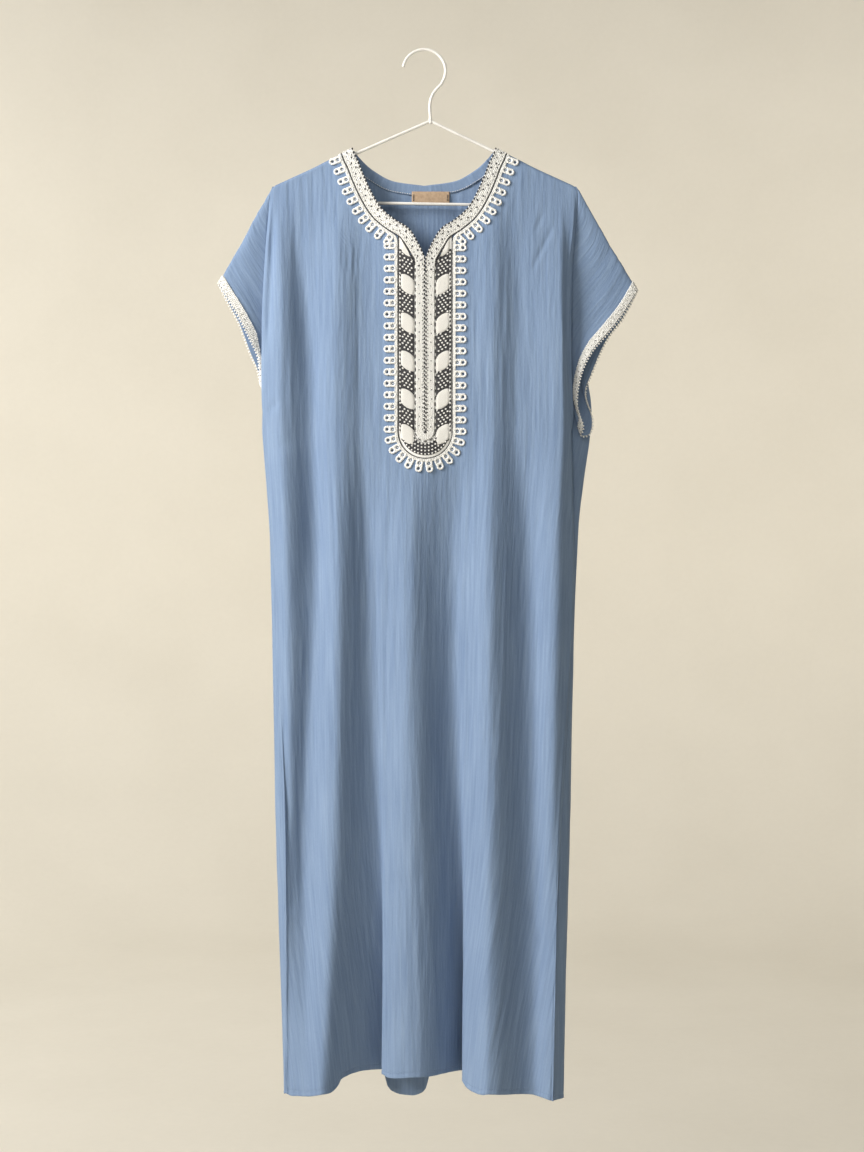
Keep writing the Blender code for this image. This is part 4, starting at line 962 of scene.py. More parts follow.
@dataclass(frozen=True)
class BackPanel(Panel):
    """The back panel, whose sides wrap round to the seams on the front."""

    columns_between: int = 210
    side_steps: int = 26
    lower_rows: int = 96
    upper_rows: int = 46
    relief: Crinkle = Crinkle(seed=31, wave=1.1)
    # Each crease: where it starts and ends as x and z, its depth and its width.
    creases: tuple[tuple[float, ...], ...] = (
        (-150, -250, -60, -420, 1.8, 9.0), (150, -250, 70, -400, 1.8, 9.0),
        (-120, -900, -60, -905, 0.9, 6.0), (30, -1100, 110, -1092, 1.0, 6.0),
    )

    def columns(self) -> Array:
        """Return the column numbers, as fold line numbers with fractions."""
        first, last = BACK_CORNERS
        side = np.linspace(0.0, first, self.side_steps, endpoint=False)
        middle = np.linspace(first, last, self.columns_between)
        return np.concatenate((side, middle, LAST_LINE - side[::-1]))

    def lower(self, columns: Array) -> Array:
        """Return the panel under the chest, as x, out and z."""
        z = lerp(SLIT_END_Z, read(BACK_HEM, 1, columns), rows_below(self.lower_rows)[:, None])
        knots = np.arange(len(BACK_LINES))
        at = np.broadcast_to(columns, z.shape).ravel()
        x, out = (through(knots, found, at).reshape(z.shape) for found in lines_at(BACK_LINES, z.ravel()))
        return joined(x, out, z)

    def upper(self, columns: Array) -> Array:
        """Return the panel above the chest, as x, out and z."""
        first, last = BACK_CORNERS
        rise = rows_above(self.upper_rows)[:, None]
        inner = columns[(columns >= first) & (columns <= last)]
        knots = np.arange(len(BACK_LINES))
        chest_x, chest_out = (through(knots, BACK_LINES[:, k], inner) for k in (0, 1))
        share = (chest_x - chest_x[0]) / (chest_x[-1] - chest_x[0])
        top_x = lerp(*BACK_TOP_ENDS, share)
        near_side = np.minimum(inner - first, last - inner)
        pace = lerp(smooth(rise), rise, smooth(near_side / 0.6)[None])
        x = lerp(chest_x[None], top_x[None], pace)
        z = lerp(SLIT_END_Z, back_top(top_x)[None], rise)
        middle = joined(x, -drape(x, z, -chest_out[None]), z)
        right = self.wrap(Side.RIGHT, middle[:, 0], middle[:, 4])
        left = self.wrap(Side.LEFT, middle[:, -1], middle[:, -5])
        return np.concatenate((right, middle, left[:, ::-1]), axis=1)

    def wrap(self, side: Side, corner: Array, inside: Array) -> Array:
        """Return the strip from an armhole's seam round to the panel's corner column."""
        table = BACK_ARMHOLES[side]
        z = lerp(SLIT_END_Z, table[-1, 0], rows_above(self.upper_rows))
        seam, fold = (
            joined(read(table, k, z), read(table, k + 1, z), at_z)
            for k, at_z in ((1, z), (3, lerp(z, corner[:, 2], 0.2)))
        )
        middle = lerp(seam, fold, 0.5)
        knots = np.stack((seam * 2.0 - middle, seam, middle, fold, corner, inside))
        steps = np.array_split(np.arange(self.side_steps), 3)
        parts = [rounded(knots, k, np.linspace(0, 1, len(step) + 1)[:-1]) for k, step in enumerate(steps)]
        return np.concatenate(parts).transpose(1, 0, 2)

    def build(self) -> Piece:
        """Build the panel and the stitches along its hem."""
        columns = self.columns()
        rows = np.concatenate((self.lower(columns), self.upper(columns)))[:, ::-1]
        points = to_place(*np.moveaxis(rows, -1, 0))
        cloth_at = cloth_places(points, points.shape[1] // 2)
        x, z = points[..., 0], points[..., 2]
        height = self.relief.at(cloth_at[..., 0], cloth_at[..., 1]) * smooth((back_top(x) - z) / 16.0)
        for crease in self.creases:
            height -= Crease(*crease).at(x, z)
        height -= self.hem_dip[1] * self.hem_line(z)
        points = points + surface_normals(points) * height[..., None]
        self.sew_hem("stitches_hem_back", points)
        return make_object("cloth_back", ClothGrid(points, cloth_at).bm, self.cloth, self.wall)


@dataclass(frozen=True)
class Sleeve:
    """One short sleeve, an open flat tube with a narrow cuff."""

    side: Side
    rings: int = 70
    steps_per_line: int = 11
    wall: float = 1.1
    gap: float = 0.15
    under_out: float = 1.0
    crinkle: float = 0.34
    wave: float = 0.8
    # How close to the armhole, and how far from the cuff, the cloth starts to be crinkled.
    armhole_calm: float = 7.0
    cuff_calm: float = 10.0

    def start(self, face: Face, z: float) -> tuple[float, float, float]:
        """Return where a line starts on the armhole, as x, out and z."""
        table = BACK_ARMHOLES[self.side] if face is Face.BACK else ARMHOLES[self.side]
        x, out = (float(read(table, column, z)) for column in (1, 2))
        if face is Face.CREST:
            x, out = table[-1, 1], 0.0
        if face is Face.UNDER:
            out = self.under_out
        return x + self.side.value * self.gap, out, z

    def rows(self, fractions: Array, steps: int) -> Array:
        """Return rings round the tube, a fraction of the way to the cuff each.

        Args:
            fractions: One for each ring, 0 at the armhole and 1 at the cuff's edge.
            steps: How many points each stretch between two lines gets.

        Returns:
            Places in millimetres as (rings, points, 3), the first point repeated at the end.
        """
        lines = [(face, line) for face, group in SLEEVE_LINES[self.side].items() for line in group]
        starts = np.array([self.start(face, line[0]) for face, line in lines], float)
        ends = np.array([line[1:] for _, line in lines], float)
        share = np.asarray(fractions)[:, None]
        paces = (share, share**SLEEVE_EASE, share)
        x, out, z = (lerp(starts[:, k], ends[:, k], pace) for k, pace in enumerate(paces))
        knots = to_place(x, out, z).transpose(1, 0, 2)
        looped = np.concatenate((knots[-1:], knots, knots[:2]))
        at = np.linspace(0.0, 1.0, steps, endpoint=False)
        ring = np.concatenate([rounded(looped, k, at) for k in range(len(lines))] + [knots[:1]])
        return ring.transpose(1, 0, 2)

    def build(self, name: str, cloth: Material) -> Piece:
        """Build the sleeve.

        Args:
            name: The piece's name.
            cloth: Its material.

        Returns:
            The finished object.
        """
        points = self.rows(np.linspace(0.0, 1.0, self.rings), self.steps_per_line)
        if self.side is Side.RIGHT:
            points = points[:, ::-1]
        down = np.linalg.norm(np.diff(points, axis=0), axis=2)
        down = np.concatenate((np.zeros((1, points.shape[1])), np.cumsum(down, axis=0)))
        to_cuff = down[-1:] - down
        around = np.broadcast_to(run_along(points[-1]), to_cuff.shape)
        cloth_at = joined(to_cuff, around)
        whole = around[0, -1]
        relief = Crinkle(seed=51 + self.side.value, wave=self.wave, crinkle=self.crinkle)
        height = lerp(
            relief.at(to_cuff, around - whole), relief.at(to_cuff, around),
            smooth((1.0 - around / whole) / 0.06),
        )
        calm = smooth(down / self.armhole_calm) * lerp(0.35, 1.0, smooth((to_cuff - self.cuff_calm) / 12.0))
        points = points + surface_normals(points) * (height * calm)[..., None]
        points[:, -1] = points[:, 0]
        grid = ClothGrid(points, cloth_at)
        grid.close_round()
        return make_object(name, grid.bm, cloth, self.wall)


@dataclass(frozen=True)
class Form:
    """A small closed shape that is repeated many times: its corners, faces and UV map."""

    corners: Array
    faces: Array
    uv: Array

    @staticmethod
    def read(bm: bmesh.types.BMesh, uv_of: Callable[[Vector], tuple[float, float]]) -> Form:
        """Read a form from a bmesh of triangles, which is freed.

        Args:
            bm: The shape, about 1 unit in radius.
            uv_of: Gives the UV place of a corner.

        Returns:
            The form.
        """
        bmesh.ops.triangulate(bm, faces=bm.faces)
        bm.verts.index_update()
        corners = np.array([vert.co for vert in bm.verts])
        faces = np.array([[vert.index for vert in face.verts] for face in bm.faces])
        uv = np.array([[uv_of(vert.co) for vert in face.verts] for face in bm.faces])
        bm.free()
        return Form(corners, faces, uv)


def grain_form() -> Form:
    """Make the rounded grain that one stitch or knot shows."""
    bm = bmesh.new()
    bmesh.ops.create_uvsphere(bm, u_segments=6, v_segments=4, radius=1.0)
    bmesh.ops.rotate(bm, verts=bm.verts, cent=(0, 0, 0), matrix=Matrix.Rotation(np.pi / 2, 3, "Y"))
    return Form.read(bm, lambda co: (co.x, co.y))


def ring_form(bore: float, cord: float, steps: int = 16, sides: int = 6) -> Form:
    """Make a ring of cord.

    Args:
        bore: Radius of the middle of the cord.
        cord: Radius of the cord itself.
        steps: Steps round the ring.
        sides: Sides of the cord.

    Returns:
        The ring, flat in its own X and Y.
    """
    bm = bmesh.new()
    turn = Matrix.Translation((bore, 0, 0)) @ Matrix.Rotation(np.pi / 2, 4, "X")
    made = bmesh.ops.create_circle(bm, segments=sides, radius=cord, matrix=turn)
    edges = list({edge for vert in made["verts"] for edge in vert.link_edges})
    bmesh.ops.spin(
        bm, geom=made["verts"] + edges, cent=(0, 0, 0), axis=(0, 0, 1), angle=2 * np.pi,
        steps=steps, use_merge=True,
    )
    bmesh.ops.remove_doubles(bm, verts=bm.verts, dist=1e-5)
    bmesh.ops.recalc_face_normals(bm, faces=bm.faces)
    return Form.read(bm, lambda co: (np.arctan2(co.y, co.x), np.hypot(co.x, co.y)))


GRAIN_UV = 1.5


class Stitching:
    """Many small forms laid on the cloth, joined into one mesh."""

    def __init__(self) -> None:
        """Start with no stitches."""
        self.corners: list[Array] = []
        self.faces: list[Array] = []
        self.uv: list[Array] = []
        self.threads: list[Array] = []
        self.count = 0

    def lay(
        self, form: Form, places: Array, along: Array, up: Array, size: Array | Size, thread: int
    ) -> None:
        """Lay one form at many places.

        Args:
            form: The form to repeat.
            places: Its centres in millimetres, as (places, 3).
            along: The direction of its own X at each place.
            up: The direction out of the cloth at each place.
            size: Its scale along, across and up, one for all or one for each place.
            thread: The material number of its faces.
        """
        if not len(places):
            return
        up = unit(up)
        along = unit(along - up * np.sum(along * up, axis=1, keepdims=True))
        axes = np.stack((along, np.cross(up, along), up), axis=1)
        scaled = form.corners[None] * np.broadcast_to(size, (len(places), 3))[:, None]
        corners = np.einsum("nki,nij->nkj", scaled, axes) + places[:, None]
        starts = np.arange(len(places)) * len(form.corners)
        faces = (form.faces[None] + starts[:, None, None]).reshape(-1, 3)
        uv = np.tile(form.uv.reshape(-1, 2), (len(places), 1)) * GRAIN_UV
        self.add(corners.reshape(-1, 3), faces, uv, thread)

    def add(self, corners: Array, faces: Array, uv: Array, thread: int) -> None:
        """Add corners, faces numbered from the first of them, and the faces' UV places."""
        self.corners.append(corners)
        self.faces.append(faces + self.count)
        self.uv.append(uv * MM)
        self.threads.append(np.full(len(faces), thread))
        self.count += len(corners)

    def sew(
        self, grain: Form, points: Array, normals: Array, pitch: float, lift: float, size: Size,
        across: bool = False,
    ) -> None:
        """Sew stitches at an even pitch along a line of points, or bars across it."""
        at = np.arange(pitch, run_along(points)[-1] - pitch, pitch)
        places, along, up = along_line(points, normals, at)
        self.lay(grain, places + up * lift, np.cross(up, along) if across else along, up, size, 0)

    def strip(self, rows: Array, thread: int) -> None:
        """Add a strip of cloth or a cord given by a grid of points.

        Args:
            rows: Places in millimetres, as (rows, columns, 3).
            thread: The material number of its faces.
        """
        count, columns = rows.shape[:2]
        first = np.arange(count - 1)[:, None] * columns + np.arange(columns - 1)
        quads = joined(first, first + 1, first + columns + 1, first + columns).reshape(-1, 4)
        along, across = run_along(rows[:, columns // 2]), run_along(rows[count // 2])
        at = joined(along[:, None], across[None]).reshape(-1, 2)
        faces = np.concatenate((quads[:, [0, 1, 2]], quads[:, [0, 2, 3]]))
        self.add(rows.reshape(-1, 3), faces, at[faces.reshape(-1)], thread)

    def build(self, name: str, finishes: Sequence[Material]) -> Piece:
        """Join everything into one object.

        Args:
            name: The piece's name.
            finishes: Its materials, in the order of the material numbers.

        Returns:
            The finished object.
        """
        corners = np.concatenate(self.corners) * MM
        faces = np.concatenate(self.faces)
        mesh = bpy.data.meshes.new(name)
        mesh.vertices.add(len(corners))
        mesh.vertices.foreach_set("co", corners.ravel())
        mesh.loops.add(faces.size)
        mesh.loops.foreach_set("vertex_index", faces.ravel())
        mesh.polygons.add(len(faces))
        mesh.polygons.foreach_set("loop_start", np.arange(len(faces)) * 3)
        mesh.uv_layers.new(name="thread").data.foreach_set("uv", np.concatenate(self.uv).ravel())
        mesh.polygons.foreach_set("material_index", np.concatenate(self.threads))
        for finish in finishes:
            mesh.materials.append(finish)
        mesh.update(calc_edges=True)
        mesh.validate()
        return show(name, mesh)


@dataclass(frozen=True)
class Trace:
    """A line drawn on the front, as x and z, with the direction to its outer side."""

    points: Array
    outward: Array

    @property
    def run(self) -> Array:
        """Return how far along the line each point lies."""
        return run_along(self.points)

    @property
    def length(self) -> float:
        """Return the line's length."""
        return float(self.run[-1])

    @property
    def ahead(self) -> Array:
        """Return the direction along the line at each point."""
        return unit(np.gradient(self.points, axis=0))

    @property
    def beside(self) -> Array:
        """Return the direction square to the outer side at each point."""
        return joined(-self.outward[:, 1], self.outward[:, 0])

    def at(self, distance: Array) -> Trace:
        """Return the line at set distances along it."""
        points, outward = (read_along(distance, self.run, of) for of in (self.points, self.outward))
        return Trace(points, unit(outward))

    def even(self, pitch: float) -> Trace:
        """Return the line at an even pitch near the one given."""
        count = max(2, round(self.length / pitch))
        return self.at((np.arange(count) + 0.5) * self.length / count)

    def moved(self, reach: float | Array) -> Trace:
        """Return the line moved to its outer side."""
        return Trace(self.points + self.outward * np.reshape(reach, (-1, 1)), self.outward)


def outward_of(points: Array, sign: int) -> Array:
    """Return the direction square to a line of x and z, to its left or right side."""
    ahead = unit(np.gradient(points, axis=0))
    return joined(ahead[:, 1], -ahead[:, 0]) * -sign


def softened(values: Array, width: int) -> Array:
    """Return rows of two values averaged softly over an odd number of neighbours."""
    kernel = np.hanning(width) / np.hanning(width).sum()
    padded = np.pad(values, ((width // 2, width // 2), (0, 0)), "reflect", reflect_type="odd")
    return np.stack([np.convolve(padded[:, k], kernel, "valid") for k in (0, 1)], axis=-1)


def thinned(points: Array, least: float) -> Array:
    """Return a line's points but those that lie too near the one before."""
    return points[np.append(True, np.hypot(*np.diff(points, axis=0).T) > least)]


def beside_slit(side: Side, beside: float | Array, z: Array) -> Array:
    """Return places on the front at distances from the slit and at heights, as x and z."""
    return joined(CENTRE_X + side.value * beside, z)


def arc_trace(radius: float, count: int = 181) -> Trace:
    """Return the half round below the slit's end, from the wearer's right to the left."""
    angles = np.linspace(np.pi, 2 * np.pi, count)
    outward = joined(np.cos(angles), np.sin(angles))
    return Trace(SLIT_END + radius * outward, outward)


def neck_trace(side: Side) -> Trace:
    """Return the neck edge of one side from the shoulder to the slit's end."""
    half, z = neckline_point(np.linspace(1.0, 0.0, FINE_STEPS))
    points = joined(neck_centre(z) + side.value * half, z)
    shoulder = unit(np.array([side.value * 28.0, -13.5]))
    turned = smooth(run_along(points) / 45.0)[:, None]
    outward = unit(lerp(shoulder[None], outward_of(points, side.value), turned))
    return Trace(points, unit(softened(outward, 61)))


def front_frames(points: Array, direction: Array | Way, height: float | Array) -> Frames:
    """Work out how things lie on the front's cloth.

    Args:
        points: Their x and z, as (places, 2).
        direction: Their direction on the cloth as x and z, one for all or one for each.
        height: How far above the cloth they lie.

    Returns:
        Their places, their direction and the direction out of the cloth, each as (places, 3).
    """
    x = points[:, 0]
    z = np.minimum(points[:, 1], crest(x) - 0.6)
    sideways = (front_out(x + 1.0, z) - front_out(x - 1.0, z)) / 2.0
    upward = front_out(x, z + 0.5) - front_out(x, z - 0.5)
    up = unit(joined(-sideways, -np.ones_like(x), -upward))
    dx, dz = np.broadcast_to(direction, points.shape).T
    along = unit(joined(dx, -(sideways * dx + upward * dz), dz))
    places = to_place(x, front_out(x, z), z) + up * np.reshape(height, (-1, 1))
    return places, along, up


def on_front(points: Array, height: float | Array) -> Array:
    """Return places at a height above the front's cloth, for points as x and z."""
    return front_frames(points, (1.0, 0.0), height)[0]


def along_line(points: Array, normals: Array, at: Array) -> Frames:
    """Return places, directions and normals at distances along a line of points."""
    run = run_along(points)
    places, after, up = (
        read_along(where, run, values)
        for where, values in ((at, points), (at + 0.5, points), (at, normals))
    )
    return places, after - places, unit(up)


class Thread(IntEnum):
    """The threads of the embroidery, with their material numbers."""

    WHITE = 0
    DARK = 1
    SATIN = 2
    GROUND = 3


@dataclass(frozen=True)
class Embroidery:
    """What the braids, the placket's field and the looped edging share."""

    grain: Form
    threads: tuple[Material, ...]
    stitches: Stitching = field(init=False, default_factory=Stitching)

    def lay(
        self, points: Array, direction: Array | Way, height: float, size: Array | Size,
        thread: Thread, form: Form | None = None,
    ) -> None:
        """Lay grains on the front.

        Args:
            points: Where they lie, as x and z.
            direction: The direction of their length, one for all or one for each.
            height: How far their middles stand above the cloth.
            size: Their half length, half width and half height, one for all or one for each.
            thread: Their thread.
            form: Another form in place of the grain.
        """
        places, along, up = front_frames(points, direction, height)
        self.stitches.lay(form or self.grain, places, along, up, size, thread)

    def lay_along(
        self, trace: Trace, height: float, size: Size, thread: Thread, turn: float = 0.0,
        jitter: float = 0.0, seed: int = 0,
    ) -> None:
        """Lay a row of grains along a line on the front.

        Args:
            trace: Where they lie.
            height: How far their middles stand above the cloth.
            size: Their half length, half width and half height.
            thread: Their thread.
            turn: How far they are turned from the line, in radians.
            jitter: How far each is moved at random.
            seed: The seed of the random moves.
        """
        turned = trace.ahead * np.cos(turn) + trace.outward * np.sin(turn)
        random = np.random.default_rng(seed)
        points = trace.points + random.uniform(-jitter, jitter, trace.points.shape)
        vary = 1.0 + random.uniform(-0.14, 0.14, (len(points), 3)) * (jitter > 0.0)
        self.lay(points, turned, height, np.array(size) * vary, thread)

    def tape(self, trace: Trace, width: float | Array, height: float, columns: int) -> None:
        """Add a flat white tape with thin edges along a line on the front.

        Args:
            trace: Its inner edge.
            width: Its width, one for all or one for each point of the line.
            height: How thick it is.
            columns: Points across its upper face.
        """
        heights = np.concatenate(([0.05], np.full(columns - 2, height), [0.05]))
        heights[[1, -2]] *= 0.92
        grid = np.stack([
            on_front(trace.moved(np.asarray(width) * share).points, rise)
            for share, rise in zip(np.linspace(0.0, 1.0, columns), heights)
        ], axis=1)
        if np.cross(grid[1, 0] - grid[0, 0], grid[0, 1] - grid[0, 0])[1] > 0:
            grid = grid[:, ::-1]
        self.stitches.strip(grid, Thread.WHITE)

    def cover(self, points: Array, rise: Array, side: Side, thread: Thread) -> None:
        """Cover a grid of x and z on one side of the slit with thread.

        Args:
            points: The grid, as (rows, columns, 2).
            rise: How far each point stands above the cloth.
            side: The side on which it lies.
            thread: The thread.
        """
        grid = on_front(points.reshape(-1, 2), rise.ravel()).reshape(*rise.shape, 3)
        self.stitches.strip(grid if side is Side.LEFT else grid[:, ::-1], thread)


@dataclass(frozen=True)
class NeckBraid(Embroidery):
    """The knotted braid round the neck and down both edges of the slit."""

    neck_width: float = 16.6
    slit_width: float = 12.4
    narrow_from: float = 150.0
    narrow_to: float = 215.0
    tape_height: float = 1.0
    knot_rows: int = 6
    knot_pitch: float = 2.8
    knot_size: Size = (1.7, 1.0, 0.95)
    knot_turn: float = 0.55
    # How far the knots and the dark dots on them stand above the tape.
    knot_lift: float = 0.25
    dot_lift: float = 0.95
    dots_end: float = 205.0
    whip_pitch: float = 5.6

    def width(self, run: Array) -> Array:
        """Return the braid's width at distances from the shoulder."""
        share = smooth((run - self.narrow_from) / (self.narrow_to - self.narrow_from))
        return lerp(self.neck_width, self.slit_width, share)

    def build(self) -> Piece:
        """Build the braid on both sides and its round foot."""
        for side in Side:
            edge = neck_trace(side)
            base = edge.at(np.linspace(0.0, edge.length, 240))
            self.tape(base, self.width(base.run), self.tape_height, 9)
            self.knots(edge, side)
            self.edge_stitches(edge)
            self.outline(edge)
            self.flecks(edge)
        self.foot()
        return self.stitches.build("braid_neck", self.threads)

    def flecks(self, edge: Trace) -> None:
        """Add the fine dotted lines along both edges of the braid beside the slit."""
        for seed, share, start, pitch in (
            (21, 0.22, self.narrow_to, 5.2), (22, 0.62, self.narrow_to, 13.0), (23, 0.24, 0.0, 7.1),
            (24, 0.76, 0.0, 6.3),
        ):
            line = edge.at(np.arange(start + 2.0, edge.length if start else self.narrow_to, pitch))
            self.lay_along(
                line.moved(self.width(line.run + start) * share), self.tape_height + self.dot_lift,
                (0.95, 0.7, 0.45), Thread.DARK, 0.3, 0.8, seed,
            )

    def knot_row(self, line: Trace, row: int, jitter: float, seed: int) -> None:
        """Lay one row of knots, turned the other way from the rows beside it."""
        turn = self.knot_turn if row % 2 else -self.knot_turn
        lift = self.tape_height + self.knot_lift
        self.lay_along(line, lift, self.knot_size, Thread.WHITE, turn, jitter, seed)

    def knots(self, edge: Trace, side: Side) -> None:
        """Cover the tape with rows of knotted grains, and the row of dark dots in their middle."""
        run = edge.even(self.knot_pitch).run
        for row in range(self.knot_rows):
            reach = self.width(run) * ((row + 1.1) / (self.knot_rows + 0.75))
            line = edge.at(run + self.knot_pitch / 2.0 * (row % 2)).moved(reach)
            self.knot_row(line, row, 0.3, 100 + row + side.value)
        dots = edge.even(8.4)
        near = dots.run < self.dots_end
        dots = Trace(dots.points[near], dots.outward[near])
        zigzag = 0.48 + 0.12 * (-1.0) ** np.arange(near.sum())
        self.lay_along(
            dots.moved(self.width(dots.run) * zigzag), self.tape_height + self.dot_lift,
            (1.5, 1.2, 0.5), Thread.DARK, 0.4, 0.3, 7,
        )

    def edge_stitches(self, edge: Trace) -> None:
        """Whip the inner edge with dark and white stitches in turn."""
        for offset, size, thread in (
            (0.0, (2.2, 1.15, 1.15), Thread.DARK), (0.5, (1.2, 1.1, 1.15), Thread.WHITE),
        ):
            line = edge.at(np.arange(2.0 + offset * self.whip_pitch, edge.length - 1.0, self.whip_pitch))
            self.lay_along(line.moved(0.6), 1.4, size, thread, 0.25, 0.1, 9)
        beads = edge.at(np.arange(self.narrow_to, edge.length, 3.1))
        self.lay_along(beads.moved(-0.7), 1.0, (1.1, 0.75, 0.8), Thread.WHITE, 0.2, 0.1, 10)

    def outline(self, edge: Trace) -> None:
        """Draw the dark line on the braid's outer side: unbroken at the neck, then dashed."""
        dense = edge.at(np.arange(0.5, 196.0, 2.2))
        line = dense.moved(self.width(dense.run + 0.5) + 0.6)
        self.lay_along(line, 0.9, (1.5, 0.85, 0.6), Thread.DARK)
        dashes = np.arange(200.0, edge.length, 9.2)
        heading = edge.at(dashes + 0.5).points - edge.at(dashes - 0.5).points
        line = edge.at(dashes).moved(self.width(dashes) + 0.7)
        self.lay(line.points, heading, 0.8, (3.1, 0.9, 0.6), Thread.DARK)

    def foot(self) -> None:
        """Close the braid in a half round under the slit."""
        radius = SLIT_HALF + self.slit_width
        rim = arc_trace(radius, 31).points
        rows = [
            on_front(lerp(SLIT_END, rim, share), rise)
            for share, rise in ((0.02, 1.0), (0.4, 1.0), (0.8, 0.95), (1.0, 0.05))
        ]
        self.stitches.strip(np.stack(rows, axis=0)[:, ::-1], Thread.WHITE)
        for row, reach in enumerate(np.arange(1.6, radius - 1.0, 1.9)):
            self.knot_row(arc_trace(reach).even(self.knot_pitch), row, 0.22, 130 + row)
        self.lay_along(arc_trace(radius + 0.7).even(8.0), 0.8, (3.0, 0.75, 0.6), Thread.DARK)
        end = SLIT_END[None] - (0.0, 1.2)
        self.lay(end, (0.0, 1.0), self.tape_height + 0.9, (2.2, 2.0, 0.7), Thread.DARK)


@dataclass(frozen=True)
class PlacketField(Embroidery):
    """The embroidered field on both sides of the slit and round its foot."""

    inner: float = 14.2
    outer: float = 37.0
    oval_centres: tuple[float, ...] = (-279.5, -331.5, -385.0, -437.5, -490.0, -539.0)
    oval_middle: float = 24.4
    oval_half_width: float = 9.3
    oval_half_height: float = 12.6
    # How square the ovals are, from 0, round, to 1.
    square: float = 0.4
    lean: float = 0.52
    rim_pitch: float = 5.0
    row_pitch: float = 4.5
    dash_pitch: float = 4.9
    dash_lift: float = 1.25
    foot_radii: tuple[float, ...] = (17.8, 22.4, 27.0, 31.6)
    foot_turn: float = 0.3
    # How far from the neck's edge the field starts, and the rows of dashes above a gap's middle.
    braid_reach: float = 17.6
    half_rows: int = 4

    def top_z(self, beside: float | Array, side: Side) -> float | Array:
        """Return the height at which the field meets the neck braid."""
        braid = neck_trace(side).moved(self.braid_reach).points
        away = np.abs(braid[:, 0] - CENTRE_X)
        order = np.argsort(away)
        return np.interp(beside, away[order], braid[order, 1])

    def slope(self, beside: Array) -> Array:
        """Return how much lower than the field's middle line a row is at a distance from the slit."""
        return self.lean * (beside - (self.inner + self.outer) / 2.0)

    def build(self) -> Piece:
        """Build the ground, the satin ovals, the rows of dashes and the lines round them."""
        self.ground()
        for side in Side:
            for centre in self.oval_centres:
                self.oval(side, centre)
            self.chevrons(side)
            self.edge_chain(side)
        self.foot_rows()
        self.outline()
        return self.stitches.build("embroidery_field", self.threads)

    def ground(self) -> None:
        """Lay the cream ground stitches as one smooth strip round the braid."""
        rows = []
        heights = np.concatenate(([0.1], np.full(7, 0.75), [0.1]))
        for reach, rise in zip(np.linspace(self.inner - 1.0, self.outer, 9), heights):
            legs = [
                beside_slit(side, reach, np.linspace(self.top_z(reach, side), SLIT_END_Z, 90))
                for side in Side
            ]
            line = np.concatenate((legs[0], arc_trace(reach).points[3:-3:3], legs[1][::-1]))
            rows.append(on_front(line, rise))
        self.stitches.strip(np.stack(rows, axis=1), Thread.WHITE)

    def oval(self, side: Side, centre: float) -> None:
        """Raise one leaning oval of satin stitch."""
        u, v = np.meshgrid(np.linspace(-1.0, 1.0, 15), np.linspace(-1.0, 1.0, 21))
        x = lerp(u * np.sqrt(1.0 - v**2 / 2.0), u, self.square) * self.oval_half_width
        z = lerp(v * np.sqrt(1.0 - u**2 / 2.0), v, self.square) * self.oval_half_height + self.lean * x
        rim = np.maximum(np.abs(u), np.abs(v))
        rise = 1.1 + 1.0 * np.sqrt(np.clip(1.0 - rim**4, 0.0, 1.0))
        points = beside_slit(side, self.oval_middle + x, centre + z)
        if centre == self.oval_centres[0]:
            limit = self.top_z(self.oval_middle + x, side) - 1.0
            points[..., 1] = np.minimum(points[..., 1], limit)
        self.cover(points, rise, side, Thread.SATIN)
        loop = np.concatenate((points[0], points[1:, -1], points[-1, -2::-1], points[-2::-1, 0]))
        loop = thinned(loop, 0.05)
        dashes = Trace(loop, unit(loop - loop.mean(axis=0))).even(self.rim_pitch)
        keep = np.abs(np.abs(dashes.points[:, 0] - CENTRE_X) - self.oval_middle) < 8.4
        size = (2.1, 0.7, 0.6)
        self.lay(dashes.moved(0.7).points[keep], dashes.ahead[keep], self.dash_lift, size, Thread.DARK)

    def chevrons(self, side: Side) -> None:
        """Lay the dark ground between the ovals, with slanting rows of dark and white dashes."""
        beside = np.linspace(self.inner + 0.6, self.outer - 0.8, 8)
        edge = self.oval_half_height - 4.5
        for upper, lower in zip(self.oval_centres, self.oval_centres[1:]):
            levels = np.linspace(lower + edge, upper - edge, 8)
            self.patch(beside_slit(side, beside, levels[:, None] + self.slope(beside)), side)
            for row in range(-self.half_rows, self.half_rows + 1):
                for thread, shift in ((Thread.DARK, 0.0), (Thread.WHITE, 0.5)):
                    steps = np.arange(5) + shift + 0.5 * (row % 2)
                    along = self.inner + 2.0 + steps * self.dash_pitch
                    along = along[along < self.outer - 4.0]
                    rows_z = (upper + lower) / 2.0 + row * self.row_pitch + self.slope(along)
                    clear = self.clear_of_ovals(along, rows_z, (upper, lower))
                    self.dashes(beside_slit(side, along, rows_z)[clear], side, thread)

    def clear_of_ovals(self, beside: Array, z: Array, centres: tuple[float, float]) -> Array:
        """Return which places lie between two ovals and not on either."""
        x = beside - self.oval_middle
        across = np.abs(x) / (self.oval_half_width + 0.6)
        clear = (z < centres[0] + self.lean * x) & (z > centres[1] + self.lean * x)
        for centre in centres:
            down = np.abs(z - centre - self.lean * x) / (self.oval_half_height + 0.9)
            clear &= across**3.2 + down**3.2 > 1.0
        return clear

    def patch(self, points: Array, side: Side) -> None:
        """Lay a piece of dark ground over a grid of x and z, with thin edges."""
        rise = np.full(points.shape[:2], 0.95)
        rise[[0, -1]] = rise[:, [0, -1]] = 0.6
        self.cover(points, rise, side, Thread.GROUND)

    def dashes(self, points: Array, side: Side, thread: Thread) -> None:
        """Lay dashes that slant down towards the slit."""
        size = (1.75, 0.9, 0.6) if thread is Thread.DARK else (1.6, 1.25, 0.9)
        self.lay(points, unit(np.array((side.value * 1.0, self.lean))), self.dash_lift, size, thread)

